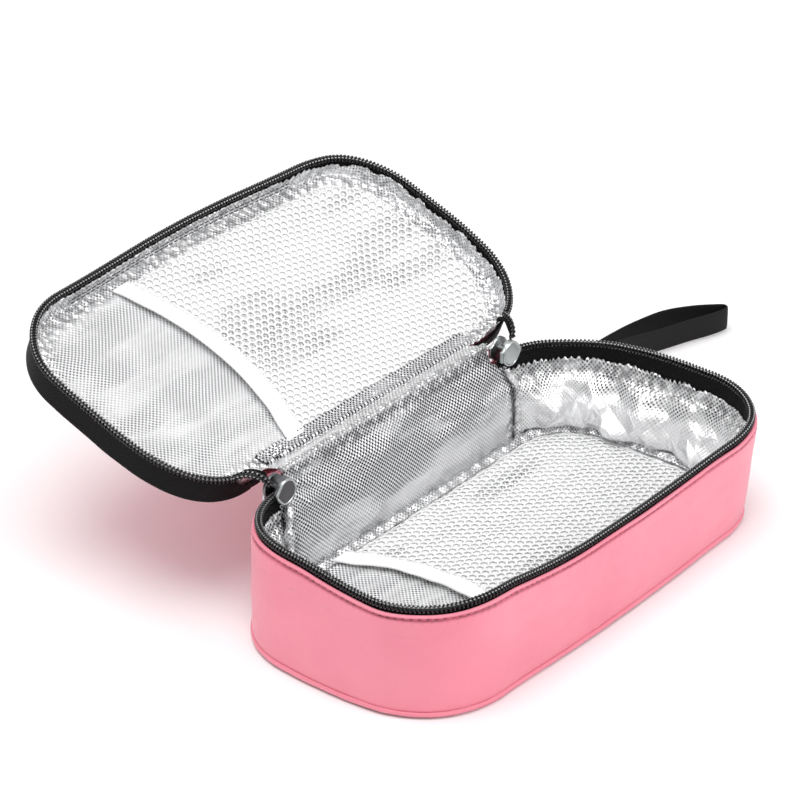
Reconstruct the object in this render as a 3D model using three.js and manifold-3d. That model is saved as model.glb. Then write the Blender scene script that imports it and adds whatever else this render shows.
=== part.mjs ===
// Insulin cooling case: a soft insulated case that zips round three sides. The base and the
// lid share one rounded outline, a fabric hinge joins them along the back, two sliders wait
// at the hinge corners, net pockets lie on both linings and a wrist strap hangs at one corner.
// Millimetres, +Z up. The origin is the centre of the underside, +X runs along the case
// towards the wrist strap, and the hinge is on the +Y side. The lid is drawn closed, above
// the zip line, and its group turns about the hinge line to the open pose.
import * as THREE from "three";
import { mergeVertices } from "three/addons/utils/BufferGeometryUtils.js";
import Module from "manifold-3d";

const wasm = await Module();
wasm.setup();

// Driving dimensions of the case.
const case_length = 200;
const case_width = 106;
const corner_radius = 33;
const zip_height = 44.5;
const lid_open_angle = 158.6;
const hinge_behind = 3.25;
const hinge_above = 3.4;

// Layers of the wall, from the outside in, and the gap between sewn layers.
const fabric = 1.0;
const foam = 4.0;
const foil = 0.6;
const layer_gap = 0.3;

// Zip: a woven tape that stands on the rim and carries a chain of coil teeth on its edge.
const tape_thickness = 0.8;
const tooth_pitch = 2.1;
const tooth_wave = 0.5;
const chain_height = 3.0;
const chain_half_width = 1.2;
const chain_waist = 0.35;
const mesh_gap = 0.5;
const chain_run_in = 4;
const tape_below_chain = 15.5;
const flex_length = 13.4;
const flex_start = 3.6;

// Round edges are drawn with this many steps to each corner.
const corner_steps = 8;
const bead_sides = 8;

// Places that follow from the sizes above.
const half_length = case_length / 2;
const half_width = case_width / 2;
const corner_x = half_length - corner_radius;
const corner_y = half_width - corner_radius;
const tape_outer = fabric + layer_gap;
const tape_inner = tape_outer + tape_thickness;
const tape_middle = (tape_outer + tape_inner) / 2;
const foam_outer = fabric + layer_gap;
const foam_inner = foam_outer + foam;
const lining_outer = foam_inner + layer_gap;
const lining_inner = lining_outer + foil;
const hem_outer = tape_inner + layer_gap;
const hem_inner = hem_outer + foil;
const tape_start = chain_height + layer_gap;
const hinge_y = half_width + hinge_behind;
const hinge_z = zip_height + hinge_above;

const colours = {
  pink: 0xf48ca4,
  pink_edge: 0xe27d95,
  foam: 0xf2f1ec,
  foil: 0xc9cbcd,
  foil_edge: 0xb9bbbe,
  tape: 0x1b1b1d,
  chain: 0x141416,
  net: 0xf4f5f5,
  band: 0xfbfbfb,
  metal: 0xc4c8c9,
  strap: 0x242425,
};

function finish(colour, roughness, metalness = 0) {
  return new THREE.MeshStandardMaterial({ color: colour, roughness, metalness });
}

const finishes = {
  pink: finish(colours.pink, 0.75),
  pink_edge: finish(colours.pink_edge, 0.75),
  foam: finish(colours.foam, 0.95),
  foil: finish(colours.foil, 0.3, 0.85),
  foil_edge: finish(colours.foil_edge, 0.4, 0.8),
  tape: finish(colours.tape, 0.85),
  chain: finish(colours.chain, 0.45),
  net: finish(colours.net, 0.8),
  band: finish(colours.band, 0.85),
  metal: finish(colours.metal, 0.25, 1),
  strap: finish(colours.strap, 0.8),
};

// The rim outline as a run of straights and arcs, anticlockwise from the back left corner.
// Each arc turns about its corner centre by a quarter turn.
const quarter = Math.PI / 2;
const rim_runs = [
  { arc: [-corner_x, corner_y], from: quarter },
  { straight: [-half_length, corner_y], along: [0, -1], length: 2 * corner_y },
  { arc: [-corner_x, -corner_y], from: 2 * quarter },
  { straight: [-corner_x, -half_width], along: [1, 0], length: 2 * corner_x },
  { arc: [corner_x, -corner_y], from: 3 * quarter },
  { straight: [half_length, -corner_y], along: [0, 1], length: 2 * corner_y },
  { arc: [corner_x, corner_y], from: 0 },
  { straight: [corner_x, half_width], along: [-1, 0], length: 2 * corner_x },
];
const arc_length = quarter * corner_radius;
const zip_length = 4 * arc_length + 4 * corner_y + 2 * corner_x;

// One place on the rim: its plan position and the direction that points into the case.
function straightPlace(start, along, distance) {
  return {
    x: start[0] + along[0] * distance,
    y: start[1] + along[1] * distance,
    nx: -along[1],
    ny: along[0],
  };
}

function arcPlace(centre, angle) {
  return {
    x: centre[0] + corner_radius * Math.cos(angle),
    y: centre[1] + corner_radius * Math.sin(angle),
    nx: -Math.cos(angle),
    ny: -Math.sin(angle),
  };
}

// The place at a distance along the zip. A distance before the first corner, or past the
// last one, lies on the straight back edge.
function rimPlace(distance) {
  if (distance < 0) return straightPlace([-corner_x, half_width], [-1, 0], distance);
  let left = distance;
  for (const run of rim_runs) {
    const length = run.arc ? arc_length : run.length;
    if (left <= length) {
      if (run.arc) return arcPlace(run.arc, run.from + left / corner_radius);
      return straightPlace(run.straight, run.along, left);
    }
    left -= length;
  }
  return rimPlace(left);
}

// The distances at which a plain strip along the zip needs a section: both ends of each
// straight, and even steps round each corner.
function stripDistances(from, to) {
  const marks = [from];
  let start = 0;
  for (const run of rim_runs.slice(0, -1)) {
    const length = run.arc ? arc_length : run.length;
    const steps = run.arc ? corner_steps : 1;
    for (let k = 0; k <= steps; k += 1) marks.push(start + (length * k) / steps);
    start += length;
  }
  marks.push(to);
  const inside = marks.filter((mark) => mark >= from && mark <= to).sort((a, b) => a - b);
  return inside.filter((mark, k) => k === 0 || mark - inside[k - 1] > layer_gap / 10);
}

const whole_zip = stripDistances(0, zip_length).map(rimPlace);

function closedOutline() {
  const places = [];
  for (const run of rim_runs) {
    if (!run.arc) continue;
    for (let k = 0; k <= corner_steps; k += 1) {
      places.push(arcPlace(run.arc, run.from + (quarter * k) / corner_steps));
    }
  }
  return places;
}

const whole_outline = closedOutline();

// Closed mesh from a list of points and faces. It is turned right side out by its volume.
function solidGeometry(points, faces) {
  let volume = 0;
  for (const [a, b, c] of faces) {
    volume += points[a].dot(new THREE.Vector3().crossVectors(points[b], points[c]));
  }
  const order = volume < 0 ? faces.map(([a, b, c]) => [a, c, b]) : faces;
  const geometry = new THREE.BufferGeometry();
  const numbers = points.flatMap((point) => [point.x, point.y, point.z]);
  geometry.setAttribute("position", new THREE.Float32BufferAttribute(numbers, 3));
  geometry.setIndex(order.flat());
  geometry.computeVertexNormals();
  return geometry;
}

// Skin over rings of points that all have the same number of corners. An open run of rings
// gets end faces, and a closed run joins its last ring to its first.
function ringSkin(rings, closed = false) {
  const sides = rings[0].length;
  const faces = [];
  const count = closed ? rings.length : rings.length - 1;
  for (let r = 0; r < count; r += 1) {
    const next = (r + 1) % rings.length;
    for (let k = 0; k < sides; k += 1) {
      const k2 = (k + 1) % sides;
      const a = r * sides + k;
      const b = r * sides + k2;
      const c = next * sides + k2;
      const d = next * sides + k;
      faces.push([a, b, c], [a, c, d]);
    }
  }
  if (!closed) {
    const last = (rings.length - 1) * sides;
    for (const [a, b, c] of endFaces(rings[0])) faces.push([a, c, b]);
    for (const [a, b, c] of endFaces(rings[rings.length - 1])) {
      faces.push([a + last, b + last, c + last]);
    }
  }
  return solidGeometry(rings.flat(), faces);
}

// Triangles over one flat ring, found in the ring's own plane.
function endFaces(ring) {
  const normal = new THREE.Vector3();
  for (let k = 0; k < ring.length; k += 1) {
    normal.add(new THREE.Vector3().crossVectors(ring[k], ring[(k + 1) % ring.length]));
  }
  normal.normalize();
  const along = new THREE.Vector3().subVectors(ring[1], ring[0]).normalize();
  const across = new THREE.Vector3().crossVectors(normal, along);
  const flat = ring.map((point) => new THREE.Vector2(point.dot(along), point.dot(across)));
  return THREE.ShapeUtils.triangulateShape(flat, []);
}

// A section is a list of [inset, drop] corners: how far in from the outline, and how far
// from the zip line. The base drops down from that line and the lid rises from it.
function baseLevel(drop) {
  return zip_height - drop;
}

function lidLevel(drop) {
  return zip_height + drop;
}

function sectionRing(place, section, level) {
  return section.map(([inset, drop]) => new THREE.Vector3(
    place.x + place.nx * inset,
    place.y + place.ny * inset,
    level(drop),
  ));
}

function strip(places, section, level) {
  return ringSkin(places.map((place) => sectionRing(place, section, level)));
}

function hoop(section) {
  const level = (height) => height;
  return ringSkin(whole_outline.map((place) => sectionRing(place, section, level)), true);
}

// Round bead as a section of [inset, height] corners.
function beadSection(inset, height, radius) {
  const corners = [];
  for (let k = 0; k < bead_sides; k += 1) {
    const turn = (2 * Math.PI * (k + 1 / 2)) / bead_sides;
    corners.push([inset + radius * Math.cos(turn), height + radius * Math.sin(turn)]);
  }
  return corners;
}

// Flat plate that follows the outline at an inset.
function outlineShape(inset) {
  const corners = whole_outline.map((place) => new THREE.Vector2(
    place.x + place.nx * inset,
    place.y + place.ny * inset,
  ));
  return new THREE.Shape(corners);
}

function plate(shape, low, high) {
  const geometry = new THREE.ExtrudeGeometry(shape, { depth: high - low, bevelEnabled: false });
  return geometry.translate(0, 0, low);
}

// Crowned panel: rings of the outline at growing insets, each with a lower and upper height.
function crownedPanel(rings) {
  const points = [];
  const faces = [];
  const sides = whole_outline.length;
  for (const side of [1, 0]) {
    for (const ring of rings) {
      for (const place of whole_outline) {
        const height = side ? ring.high : ring.low;
        points.push(new THREE.Vector3(
          place.x + place.nx * ring.inset,
          place.y + place.ny * ring.inset,
          height,
        ));
      }
    }
  }
  const lower = rings.length * sides;
  function quad(a, b, c, d) {
    faces.push([a, b, c], [a, c, d]);
  }
  for (let k = 0; k < sides; k += 1) {
    const k2 = (k + 1) % sides;
    for (let r = 0; r < rings.length - 1; r += 1) {
      const near = r * sides;
      const far = near + sides;
      quad(near + k, near + k2, far + k2, far + k);
      quad(lower + far + k, lower + far + k2, lower + near + k2, lower + near + k);
    }
    quad(lower + k, lower + k2, k2, k);
  }
  const inner = (rings.length - 1) * sides;
  const cap = points.slice(inner, inner + sides).map((p) => new THREE.Vector2(p.x, p.y));
  for (const [a, b, c] of THREE.ShapeUtils.triangulateShape(cap, [])) {
    faces.push([a + inner, b + inner, c + inner]);
    faces.push([a + inner + lower, c + inner + lower, b + inner + lower]);
  }
  return solidGeometry(points, faces);
}

// Fabric strip across the back: a centre line of [y, z, half width] stations, thickened.
function backStrip(stations, thickness) {
  const rings = stations.map(([y, z, half], k) => {
    const before = stations[Math.max(k - 1, 0)];
    const after = stations[Math.min(k + 1, stations.length - 1)];
    const along = new THREE.Vector2(after[0] - before[0], after[1] - before[1]).normalize();
    const oy = (along.y * thickness) / 2;
    const oz = (-along.x * thickness) / 2;
    return [
      new THREE.Vector3(-half, y + oy, z + oz),
      new THREE.Vector3(half, y + oy, z + oz),
      new THREE.Vector3(half, y - oy, z - oz),
      new THREE.Vector3(-half, y - oy, z - oz),
    ];
  });
  return ringSkin(rings);
}

// Round bar between two points.
function bar(from, to, radius, sides = bead_sides) {
  const span = new THREE.Vector3().subVectors(to, from);
  const geometry = new THREE.CylinderGeometry(radius, radius, span.length(), sides);
  const up = new THREE.Vector3(0, 1, 0);
  geometry.applyQuaternion(new THREE.Quaternion().setFromUnitVectors(up, span.clone().normalize()));
  const middle = new THREE.Vector3().addVectors(from, to).multiplyScalar(1 / 2);
  return geometry.translate(middle.x, middle.y, middle.z);
}

// Solid of the cutting library from a geometry, and back.
function asSolid(geometry) {
  const bare = geometry.clone();
  bare.deleteAttribute("normal");
  bare.deleteAttribute("uv");
  const merged = mergeVertices(bare, layer_gap / 300);
  return new wasm.Manifold(new wasm.Mesh({
    numProp: 3,
    vertProperties: new Float32Array(merged.attributes.position.array),
    triVerts: new Uint32Array(merged.index.array),
  }));
}

function asGeometry(solid) {
  const mesh = solid.getMesh();
  const geometry = new THREE.BufferGeometry();
  geometry.setAttribute("position", new THREE.BufferAttribute(mesh.vertProperties, 3));
  geometry.setIndex(new THREE.BufferAttribute(mesh.triVerts, 1));
  geometry.computeVertexNormals();
  return geometry;
}

const cooling_case = new THREE.Group();
const base = new THREE.Group();
const lid = new THREE.Group();
cooling_case.add(base, lid);

// The lid group stands on the hinge line, so its pieces are moved back by the same amount.
lid.position.set(0, hinge_y, hinge_z);
lid.rotation.x = THREE.MathUtils.degToRad(-lid_open_angle);

function addTo(group, name, geometry, material) {
  const mesh = new THREE.Mesh(geometry, material);
  mesh.name = name;
  if (group === lid) geometry.translate(0, -hinge_y, -hinge_z);
  group.add(mesh);
  return mesh;
}

// Base underside: a flat fabric panel inside a round self-coloured piping.
const piping_radius = 1.3;
const piping_inset = 0.5;
const piping_lift = 0.5;
const piping_middle = piping_lift + piping_radius;
const wall_foot = piping_middle + piping_radius + layer_gap;
const bottom_inset = piping_inset + piping_radius + layer_gap;

function buildBottom() {
  addTo(base, "base_bottom_panel", plate(outlineShape(bottom_inset), 0, fabric), finishes.pink);
  const section = beadSection(piping_inset, piping_middle, piping_radius);
  addTo(base, "base_piping", hoop(section), finishes.pink_edge);
}

// Base wall, from the outside in: fabric with a folded hem below the chain, foam, and foil
// that leans out at the top to meet the zip tape in a narrow hem.
const hem_fold = 0.3;
const hem_depth = 6;
const hem_drop = chain_height + 2 * layer_gap;
const foam_drop = 17;
const lining_lean_low = 17;
const lining_lean_high = 12.5;
const lining_top = 10;
const wall_foot_drop = zip_height - wall_foot;
const floor_foam_low = fabric + layer_gap;
const floor_foam_high = floor_foam_low + foam;
const floor_foil_low = floor_foam_high + layer_gap;
const floor_foil_high = floor_foil_low + foil;
const wall_foil_foot = floor_foil_high + layer_gap;

function buildWalls() {
  const shell = [
    [0, wall_foot_drop],
    [fabric, wall_foot_drop],
    [fabric, hem_drop],
    [-hem_fold, hem_drop],
    [-hem_fold, hem_drop + hem_depth],
    [0, hem_drop + hem_depth + hem_fold],
  ];
  addTo(base, "base_side_shell", strip(whole_zip, shell, baseLevel), finishes.pink);
  const padding = [
    [foam_outer, wall_foot_drop],
    [foam_inner, wall_foot_drop],
    [foam_inner, foam_drop],
    [foam_outer, foam_drop],
  ];
  addTo(base, "base_side_foam", strip(whole_zip, padding, baseLevel), finishes.foam);
  const foot = zip_height - wall_foil_foot;
  const lining = [
    [lining_outer, foot],
    [lining_inner, foot],
    [lining_inner, lining_lean_low + foil / 2],
    [hem_inner, lining_lean_high + foil / 2],
    [hem_inner, lining_top],
    [hem_outer, lining_top],
    [hem_outer, lining_lean_high],
    [lining_outer, lining_lean_low],
  ];
  addTo(base, "base_side_lining", strip(whole_zip, lining, baseLevel), finishes.foil);
}

// Floor: foam and foil plates inside the wall foam, and a bound seam round the inner corner.
const binding_radius = 1.1;
const binding_inset = lining_inner + layer_gap + binding_radius;
const binding_height = floor_foil_high + layer_gap + binding_radius;

function buildFloor() {
  const inset = foam_inner + layer_gap;
  const pad = plate(outlineShape(inset), floor_foam_low, floor_foam_high);
  addTo(base, "base_floor_foam", pad, finishes.foam);
  const sheet = plate(outlineShape(inset), floor_foil_low, floor_foil_high);
  addTo(base, "base_floor_lining", sheet, finishes.foil);
  const section = beadSection(binding_inset, binding_height, binding_radius);
  addTo(base, "base_floor_seam_binding", hoop(section), finishes.foil_edge);
}

// Back of the base: fabric, foam and foil between the two corner seams. Above the foam the
// fabric and foil lean out to the hinge line, and their top corners are cut clear of the
// sliders.
const seam_gap = 0.3;
const back_half = corner_x - seam_gap;
const flap_side_gap = 7.7;
const flap_half = back_half - flap_side_gap;
const flap_shoulder = 7;
const flap_lean_drop = 12;
const hinge_bead_radius = 1.2;
const foil_reach = 1.6;
const fabric_reach = 3.4;
const lean_angle = Math.atan2(-(hinge_above + flap_lean_drop), -hinge_behind);

// Centre of a layer where it ends at a reach from the hinge line, along a lean angle and at
// an offset to one side of it.
function leanEnd(angle, reach, offset) {
  return [
    hinge_y + reach * Math.cos(angle) + offset * Math.cos(angle + quarter),
    hinge_z + reach * Math.sin(angle) + offset * Math.sin(angle + quarter),
  ];
}

function buildBack() {
  const shoulder_height = zip_height - flap_shoulder;
  const lean_height = zip_height - flap_lean_drop;
  function leaning(low, from_y, from_z, end, thickness) {
    const share = (shoulder_height - from_z) / (end[1] - from_z);
    const middle_y = from_y + (end[0] - from_y) * share;
    return backStrip([
      [from_y, low, back_half],
      [from_y, from_z, back_half],
      [middle_y, shoulder_height, back_half],
      [middle_y, shoulder_height + layer_gap, flap_half],
      [end[0], end[1], flap_half],
    ], thickness);
  }
  const shell_end = leanEnd(lean_angle, fabric_reach, (fabric + layer_gap) / 2);
  const shell_y = half_width - fabric / 2;
  const shell = leaning(wall_foot, shell_y, lean_height, shell_end, fabric);
  addTo(base, "base_back_shell", shell, finishes.pink);
  const pad = backStrip([
    [half_width - foam_outer - foam / 2, wall_foot, back_half],
    [half_width - foam_outer - foam / 2, zip_height - foam_drop, back_half],
  ], foam);
  addTo(base, "base_back_foam", pad, finishes.foam);
  const lining_end = leanEnd(lean_angle, foil_reach, -(foil + layer_gap) / 2);
  const lining_y = half_width - lining_outer - foil / 2;
  const lining_z = zip_height - lining_lean_low;
  const lining = leaning(wall_foil_foot, lining_y, lining_z, lining_end, foil);
  addTo(base, "base_back_lining", lining, finishes.foil);
}

// Bound seams up both back corners, and the bead along the hinge line.
const corner_bead_radius = 1.0;

function buildSeams() {
  const y = half_width - lining_inner - layer_gap - corner_bead_radius;
  const low = binding_height + binding_radius + layer_gap;
  const high = zip_height - lining_lean_low;
  for (const [side, word] of [[-1, "left"], [1, "right"]]) {
    const x = side * back_half;
    const foot = new THREE.Vector3(x, y, low);
    const head = new THREE.Vector3(x, y, high);
    const seam = bar(foot, head, corner_bead_radius);
    addTo(base, `base_corner_seam_${word}`, seam, finishes.foil_edge);
  }
  const left = new THREE.Vector3(-flap_half, hinge_y, hinge_z);
  const right = new THREE.Vector3(flap_half, hinge_y, hinge_z);
  const bead = bar(left, right, hinge_bead_radius);
  addTo(base, "hinge_seam_binding", bead, finishes.foil_edge);
}

// Zip chain: one wave for each tooth. The base teeth point up and the lid teeth point down,
// and the lid wave is the base wave moved up by the mesh gap, so closed teeth interlock.
function chainRing(distance, crest, level, sign) {
  const wave = crest ? tooth_wave : -tooth_wave;
  const waist = crest === (sign > 0) ? 0 : chain_waist;
  const edge = mesh_gap / 2 - sign * wave;
  const outer = tape_middle - chain_half_width;
  const inner = tape_middle + chain_half_width;
  return [
    [outer, chain_height],
    [inner, chain_height],
    [inner - waist, edge],
    [outer + waist, edge],
  ];
}

const tooth_count = Math.round((zip_length + 2 * chain_run_in) / tooth_pitch);
const tooth_step = (zip_length + 2 * chain_run_in) / tooth_count / 2;

function chain(first, last, level, sign) {
  const rings = [];
  for (let k = first; k <= last; k += 1) {
    const place = rimPlace(-chain_run_in + k * tooth_step);
    rings.push(sectionRing(place, chainRing(k, k % 2 === 0, level, sign), level));
  }
  return ringSkin(rings);
}

function buildBaseZip() {
  const tape = [
    [tape_outer, tape_below_chain],
    [tape_inner, tape_below_chain],
    [tape_inner, tape_start],
    [tape_outer, tape_start],
  ];
  addTo(base, "base_zip_tape", strip(whole_zip, tape, baseLevel), finishes.tape);
  const teeth = chain(0, 2 * tooth_count, baseLevel, 1);
  addTo(base, "base_zip_chain", teeth, finishes.chain);
}

// Lid layers, measured up from the zip line: foil inside, foam, and a crowned fabric top.
const lid_tape_height = 12.6;
const tape_taper_length = 30;
const lid_edge_inset = tape_inner + layer_gap;
const lid_foil_edge = 8.2;
const flex_tape_height = lid_foil_edge - 1.2;
const lid_foil_height = 10.2;
const lid_foil_lap = 3.6;
const lid_foam_inset = 7;
const lid_shell_edge = 11.6;
const lid_shell_shoulder = 14.6;
const lid_shell_crown = 16.4;
const lid_shoulder_inset = 10;
const lid_crown_inset = 22;
const lid_flat_inset = 31;

function lidRing(inset, low, thickness) {
  return { inset, low: zip_height + low, high: zip_height + low + thickness };
}

function buildLidPanels() {
  const shell = crownedPanel([
    lidRing(lid_edge_inset, lid_shell_edge, fabric),
    lidRing(lid_shoulder_inset, lid_shell_shoulder, fabric),
    lidRing(lid_crown_inset, lid_shell_crown, fabric),
    lidRing(lid_flat_inset, lid_shell_crown + layer_gap, fabric),
  ]);
  addTo(lid, "lid_outer_panel", shell, finishes.pink);
  const pad_low = lid_foil_height + foil + layer_gap;
  const slope = (lid_shell_shoulder - lid_shell_edge) / (lid_shoulder_inset - lid_edge_inset);
  const edge_high = lid_shell_edge + slope * (lid_foam_inset - lid_edge_inset) - layer_gap;
  const pad = crownedPanel([
    lidRing(lid_foam_inset, pad_low, edge_high - pad_low),
    lidRing(lid_shoulder_inset, pad_low, lid_shell_shoulder - layer_gap - pad_low),
    lidRing(lid_crown_inset, pad_low, lid_shell_crown - layer_gap - pad_low),
    lidRing(lid_flat_inset, pad_low, lid_shell_crown - pad_low),
  ]);
  addTo(lid, "lid_foam", pad, finishes.foam);
  const lining = crownedPanel([
    lidRing(lid_edge_inset, lid_foil_edge, foil),
    lidRing(lid_foil_lap, lid_foil_height - foil / 2, foil),
    lidRing(lid_foam_inset, lid_foil_height, foil),
  ]);
  addTo(lid, "lid_lining", lining, finishes.foil);
}

// Short strips that carry the lid's fabric and foil from the panel's back edge to the hinge.
function buildLidFlap() {
  const edge_y = half_width - lid_edge_inset;
  function flap(edge_z, reach, offset, thickness) {
    const lean = Math.atan2(edge_z - hinge_z, edge_y - hinge_y);
    const start = leanEnd(lean, reach, offset);
    const dy = edge_y - start[0];
    const dz = edge_z - start[1];
    const clear = 1 - (2 * layer_gap) / Math.hypot(dy, dz);
    return backStrip([
      [start[0], start[1], flap_half],
      [start[0] + dy * clear, start[1] + dz * clear, flap_half],
    ], thickness);
  }
  const shell_z = zip_height + lid_shell_edge;
  const shell = flap(shell_z, fabric_reach, -(fabric + layer_gap) / 2, fabric);
  addTo(lid, "lid_hinge_fabric", shell, finishes.pink);
  const lining_z = zip_height + lid_foil_edge;
  const lining = flap(lining_z, foil_reach, (foil + layer_gap) / 2, foil);
  addTo(lid, "lid_hinge_lining", lining, finishes.foil);
}

const lid_first_step = Math.ceil((chain_run_in + flex_length) / tooth_step);
const lid_zip_start = -chain_run_in + lid_first_step * tooth_step;
const lid_zip_end = zip_length - lid_zip_start;

// The lid's tape narrows towards each slider.
function lidTapeTop(distance) {
  const from_slider = Math.min(distance, zip_length - distance);
  const share = THREE.MathUtils.clamp((from_slider - flex_length) / tape_taper_length, 0, 1);
  return THREE.MathUtils.lerp(flex_tape_height, lid_tape_height, share);
}

function buildLidZip() {
  const rings = stripDistances(lid_zip_start, lid_zip_end).map((distance) => {
    const top = lidTapeTop(distance);
    const tape = [
      [tape_outer, top],
      [tape_inner, top],
      [tape_inner, tape_start],
      [tape_outer, tape_start],
    ];
    return sectionRing(rimPlace(distance), tape, lidLevel);
  });
  addTo(lid, "lid_zip_tape", ringSkin(rings), finishes.tape);
  const last = 2 * tooth_count - lid_first_step;
  const teeth = chain(lid_first_step, last, lidLevel, -1);
  addTo(lid, "lid_zip_chain", teeth, finishes.chain);
}

// The ends of the lid's zip twist from the open lid down into the sliders. Each is one piece
// of tape and chain that bends when the lid moves.
function twistedRing(distance, crest) {
  const from_slider = Math.min(distance, zip_length - distance);
  const t = THREE.MathUtils.clamp(from_slider / flex_length, 0, 1);
  const share = t * t * (3 - 2 * t);
  const place = rimPlace(distance);
  const top = THREE.MathUtils.lerp(tape_start + foil, flex_tape_height, share);
  const teeth = chainRing(distance, crest, lidLevel, -1);
  const section = [
    [tape_outer, chain_height],
    [tape_outer, top],
    [tape_inner, top],
    [tape_inner, chain_height],
    teeth[1],
    teeth[2],
    teeth[3],
    teeth[0],
  ];
  const turn = THREE.MathUtils.degToRad(-lid_open_angle) * share;
  return sectionRing(place, section, lidLevel).map((point) => {
    const y = point.y - hinge_y;
    const z = point.z - hinge_z;
    point.y = hinge_y + y * Math.cos(turn) - z * Math.sin(turn);
    point.z = hinge_z + y * Math.sin(turn) + z * Math.cos(turn);
    return point;
  });
}

function buildZipEnds() {
  const first = Math.ceil((chain_run_in + flex_start) / tooth_step);
  const ends = { left: [first, lid_first_step] };
  ends.right = [2 * tooth_count - lid_first_step, 2 * tooth_count - first];
  for (const [word, [from, to]] of Object.entries(ends)) {
    const rings = [];
    for (let k = from; k <= to; k += 1) {
      const inner_end = word === "left" ? k === to : k === from;
      const shift = inner_end ? (word === "left" ? -layer_gap : layer_gap) : 0;
      rings.push(twistedRing(-chain_run_in + k * tooth_step + shift, k % 2 === 0));
    }
    addTo(base, `lid_zip_end_${word}`, ringSkin(rings), finishes.tape);
  }
}

// Net pockets. The net is a flat lattice with diamond gaps; its mouth is a bowed white band.
const mouth_x = -46;
const mouth_bow = 12;
const band_width = 9;
const band_thickness = 1.0;
const net_thickness = 0.6;
const net_gap_length = 13;
const net_gap_width = 8.4;
const net_strand = 2.6;
const base_net_inset = binding_inset + binding_radius + layer_gap;
const lid_net_inset = lid_foam_inset + 2 * layer_gap;
const mouth_steps = 12;

// Where the mouth runs at a given distance across the case.
function mouthAt(y, inset, shift) {
  const half = half_width - inset;
  return mouth_x + shift + mouth_bow * (1 - (y / half) ** 2);
}

// The points of the outline at an inset that lie to the right of the mouth.
function rightOutline(inset, shift) {
  const kept = [];
  for (const place of whole_outline) {
    const x = place.x + place.nx * inset;
    const y = place.y + place.ny * inset;
    if (x > mouthAt(y, inset, shift)) kept.push(new THREE.Vector2(x, y));
  }
  return kept;
}

function mouthCurve(inset, shift, downwards) {
  const half = half_width - inset;
  const points = [];
  for (let k = 0; k <= mouth_steps; k += 1) {
    const y = half * ((2 * k) / mouth_steps - 1) * (downwards ? -1 : 1);
    points.push(new THREE.Vector2(mouthAt(y, inset, shift), y));
  }
  return points;
}

function insideNet(x, y, inset, margin) {
  if (x < mouthAt(y, inset, band_width + margin)) return false;
  const dx = Math.max(Math.abs(x) - corner_x, 0);
  const dy = Math.max(Math.abs(y) - corner_y, 0);
  const limit = corner_radius - inset - margin;
  if (Math.abs(x) > corner_x && Math.abs(y) > corner_y) return Math.hypot(dx, dy) < limit;
  return dx < limit && dy < limit;
}

function netShape(inset) {
  const shift = band_width + layer_gap;
  const mouth = mouthCurve(inset, shift, true);
  const outline = rightOutline(inset, shift);
  const shape = new THREE.Shape([...mouth, ...outline]);
  const step_x = net_gap_length + net_strand;
  const step_y = (net_gap_width + net_strand) / 2;
  const rows = Math.floor((half_width - inset) / step_y);
  const columns = Math.ceil(half_length / step_x);
  for (let row = -rows; row <= rows; row += 1) {
    for (let column = -columns; column <= columns; column += 1) {
      const x = (column + (Math.abs(row) % 2) / 2) * step_x;
      const y = row * step_y;
      const corners = [
        [x - net_gap_length / 2, y],
        [x, y + net_gap_width / 2],
        [x + net_gap_length / 2, y],
        [x, y - net_gap_width / 2],
      ];
      if (!corners.every(([cx, cy]) => insideNet(cx, cy, inset, net_strand / 2))) continue;
      shape.holes.push(new THREE.Path(corners.map(([cx, cy]) => new THREE.Vector2(cx, cy))));
    }
  }
  return shape;
}

function bandShape(inset) {
  return new THREE.Shape([
    ...mouthCurve(inset, 0, true),
    ...mouthCurve(inset, band_width, false),
  ]);
}

function buildPocket(group, word, inset, low, rise) {
  const net_high = low + rise * net_thickness;
  const band_high = low + rise * band_thickness;
  const net = plate(netShape(inset), Math.min(low, net_high), Math.max(low, net_high));
  addTo(group, `${word}_pocket_net`, net, finishes.net);
  const band = plate(bandShape(inset), Math.min(low, band_high), Math.max(low, band_high));
  addTo(group, `${word}_pocket_band`, band, finishes.band);
}

// Zip slider: two pear-shaped plates joined by a post, with lips that keep the chain in,
// and a bridge on the outer plate that holds the pull. Drawn with +X towards the slider's
// mouth, +Y into the case and +Z up; the side turns it for the left or the right corner.
const slider_from_corner = 1;
const slider_lift = 0.4;
const plate_thickness = 1.2;
const plate_radius = 5;
const plate_nose = 5.6;
const nose_half = 2.2;
const slider_clearance = 0.8;
const lip_height = 0.9;
const post_half = 1.2;
const post_height = 1.3;
const bridge_radius = 0.6;
const bridge_front = 1;
const bridge_back = -3.4;
const bridge_stand = 1.9;
const pull_thickness = 1.0;
const pull_gap = 0.45;
const pull_length = 15;
const pull_half_width = 2.6;
const pull_eye = 1.05;
const pull_head = 2.1;

function plateShape() {
  const shape = new THREE.Shape();
  const turn = (2 * Math.PI) / 3;
  const lobe_x = plate_radius * Math.cos(turn);
  const lobe_z = plate_radius * Math.sin(turn);
  shape.moveTo(-plate_nose, -nose_half);
  shape.quadraticCurveTo((lobe_x - plate_nose) / 2, -nose_half, lobe_x, -lobe_z);
  shape.absarc(0, 0, plate_radius, -turn, turn, false);
  shape.quadraticCurveTo((lobe_x - plate_nose) / 2, nose_half, -plate_nose, nose_half);
  return shape;
}

// Extrude a shape drawn in the plate's own plane to a slab between two depths.
function slab(shape, from, to, curveSegments = 3) {
  const geometry = new THREE.ExtrudeGeometry(shape, {
    depth: Math.abs(to - from),
    bevelEnabled: false,
    curveSegments,
  });
  geometry.rotateX(quarter);
  return geometry.translate(0, Math.max(from, to), 0);
}

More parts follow.
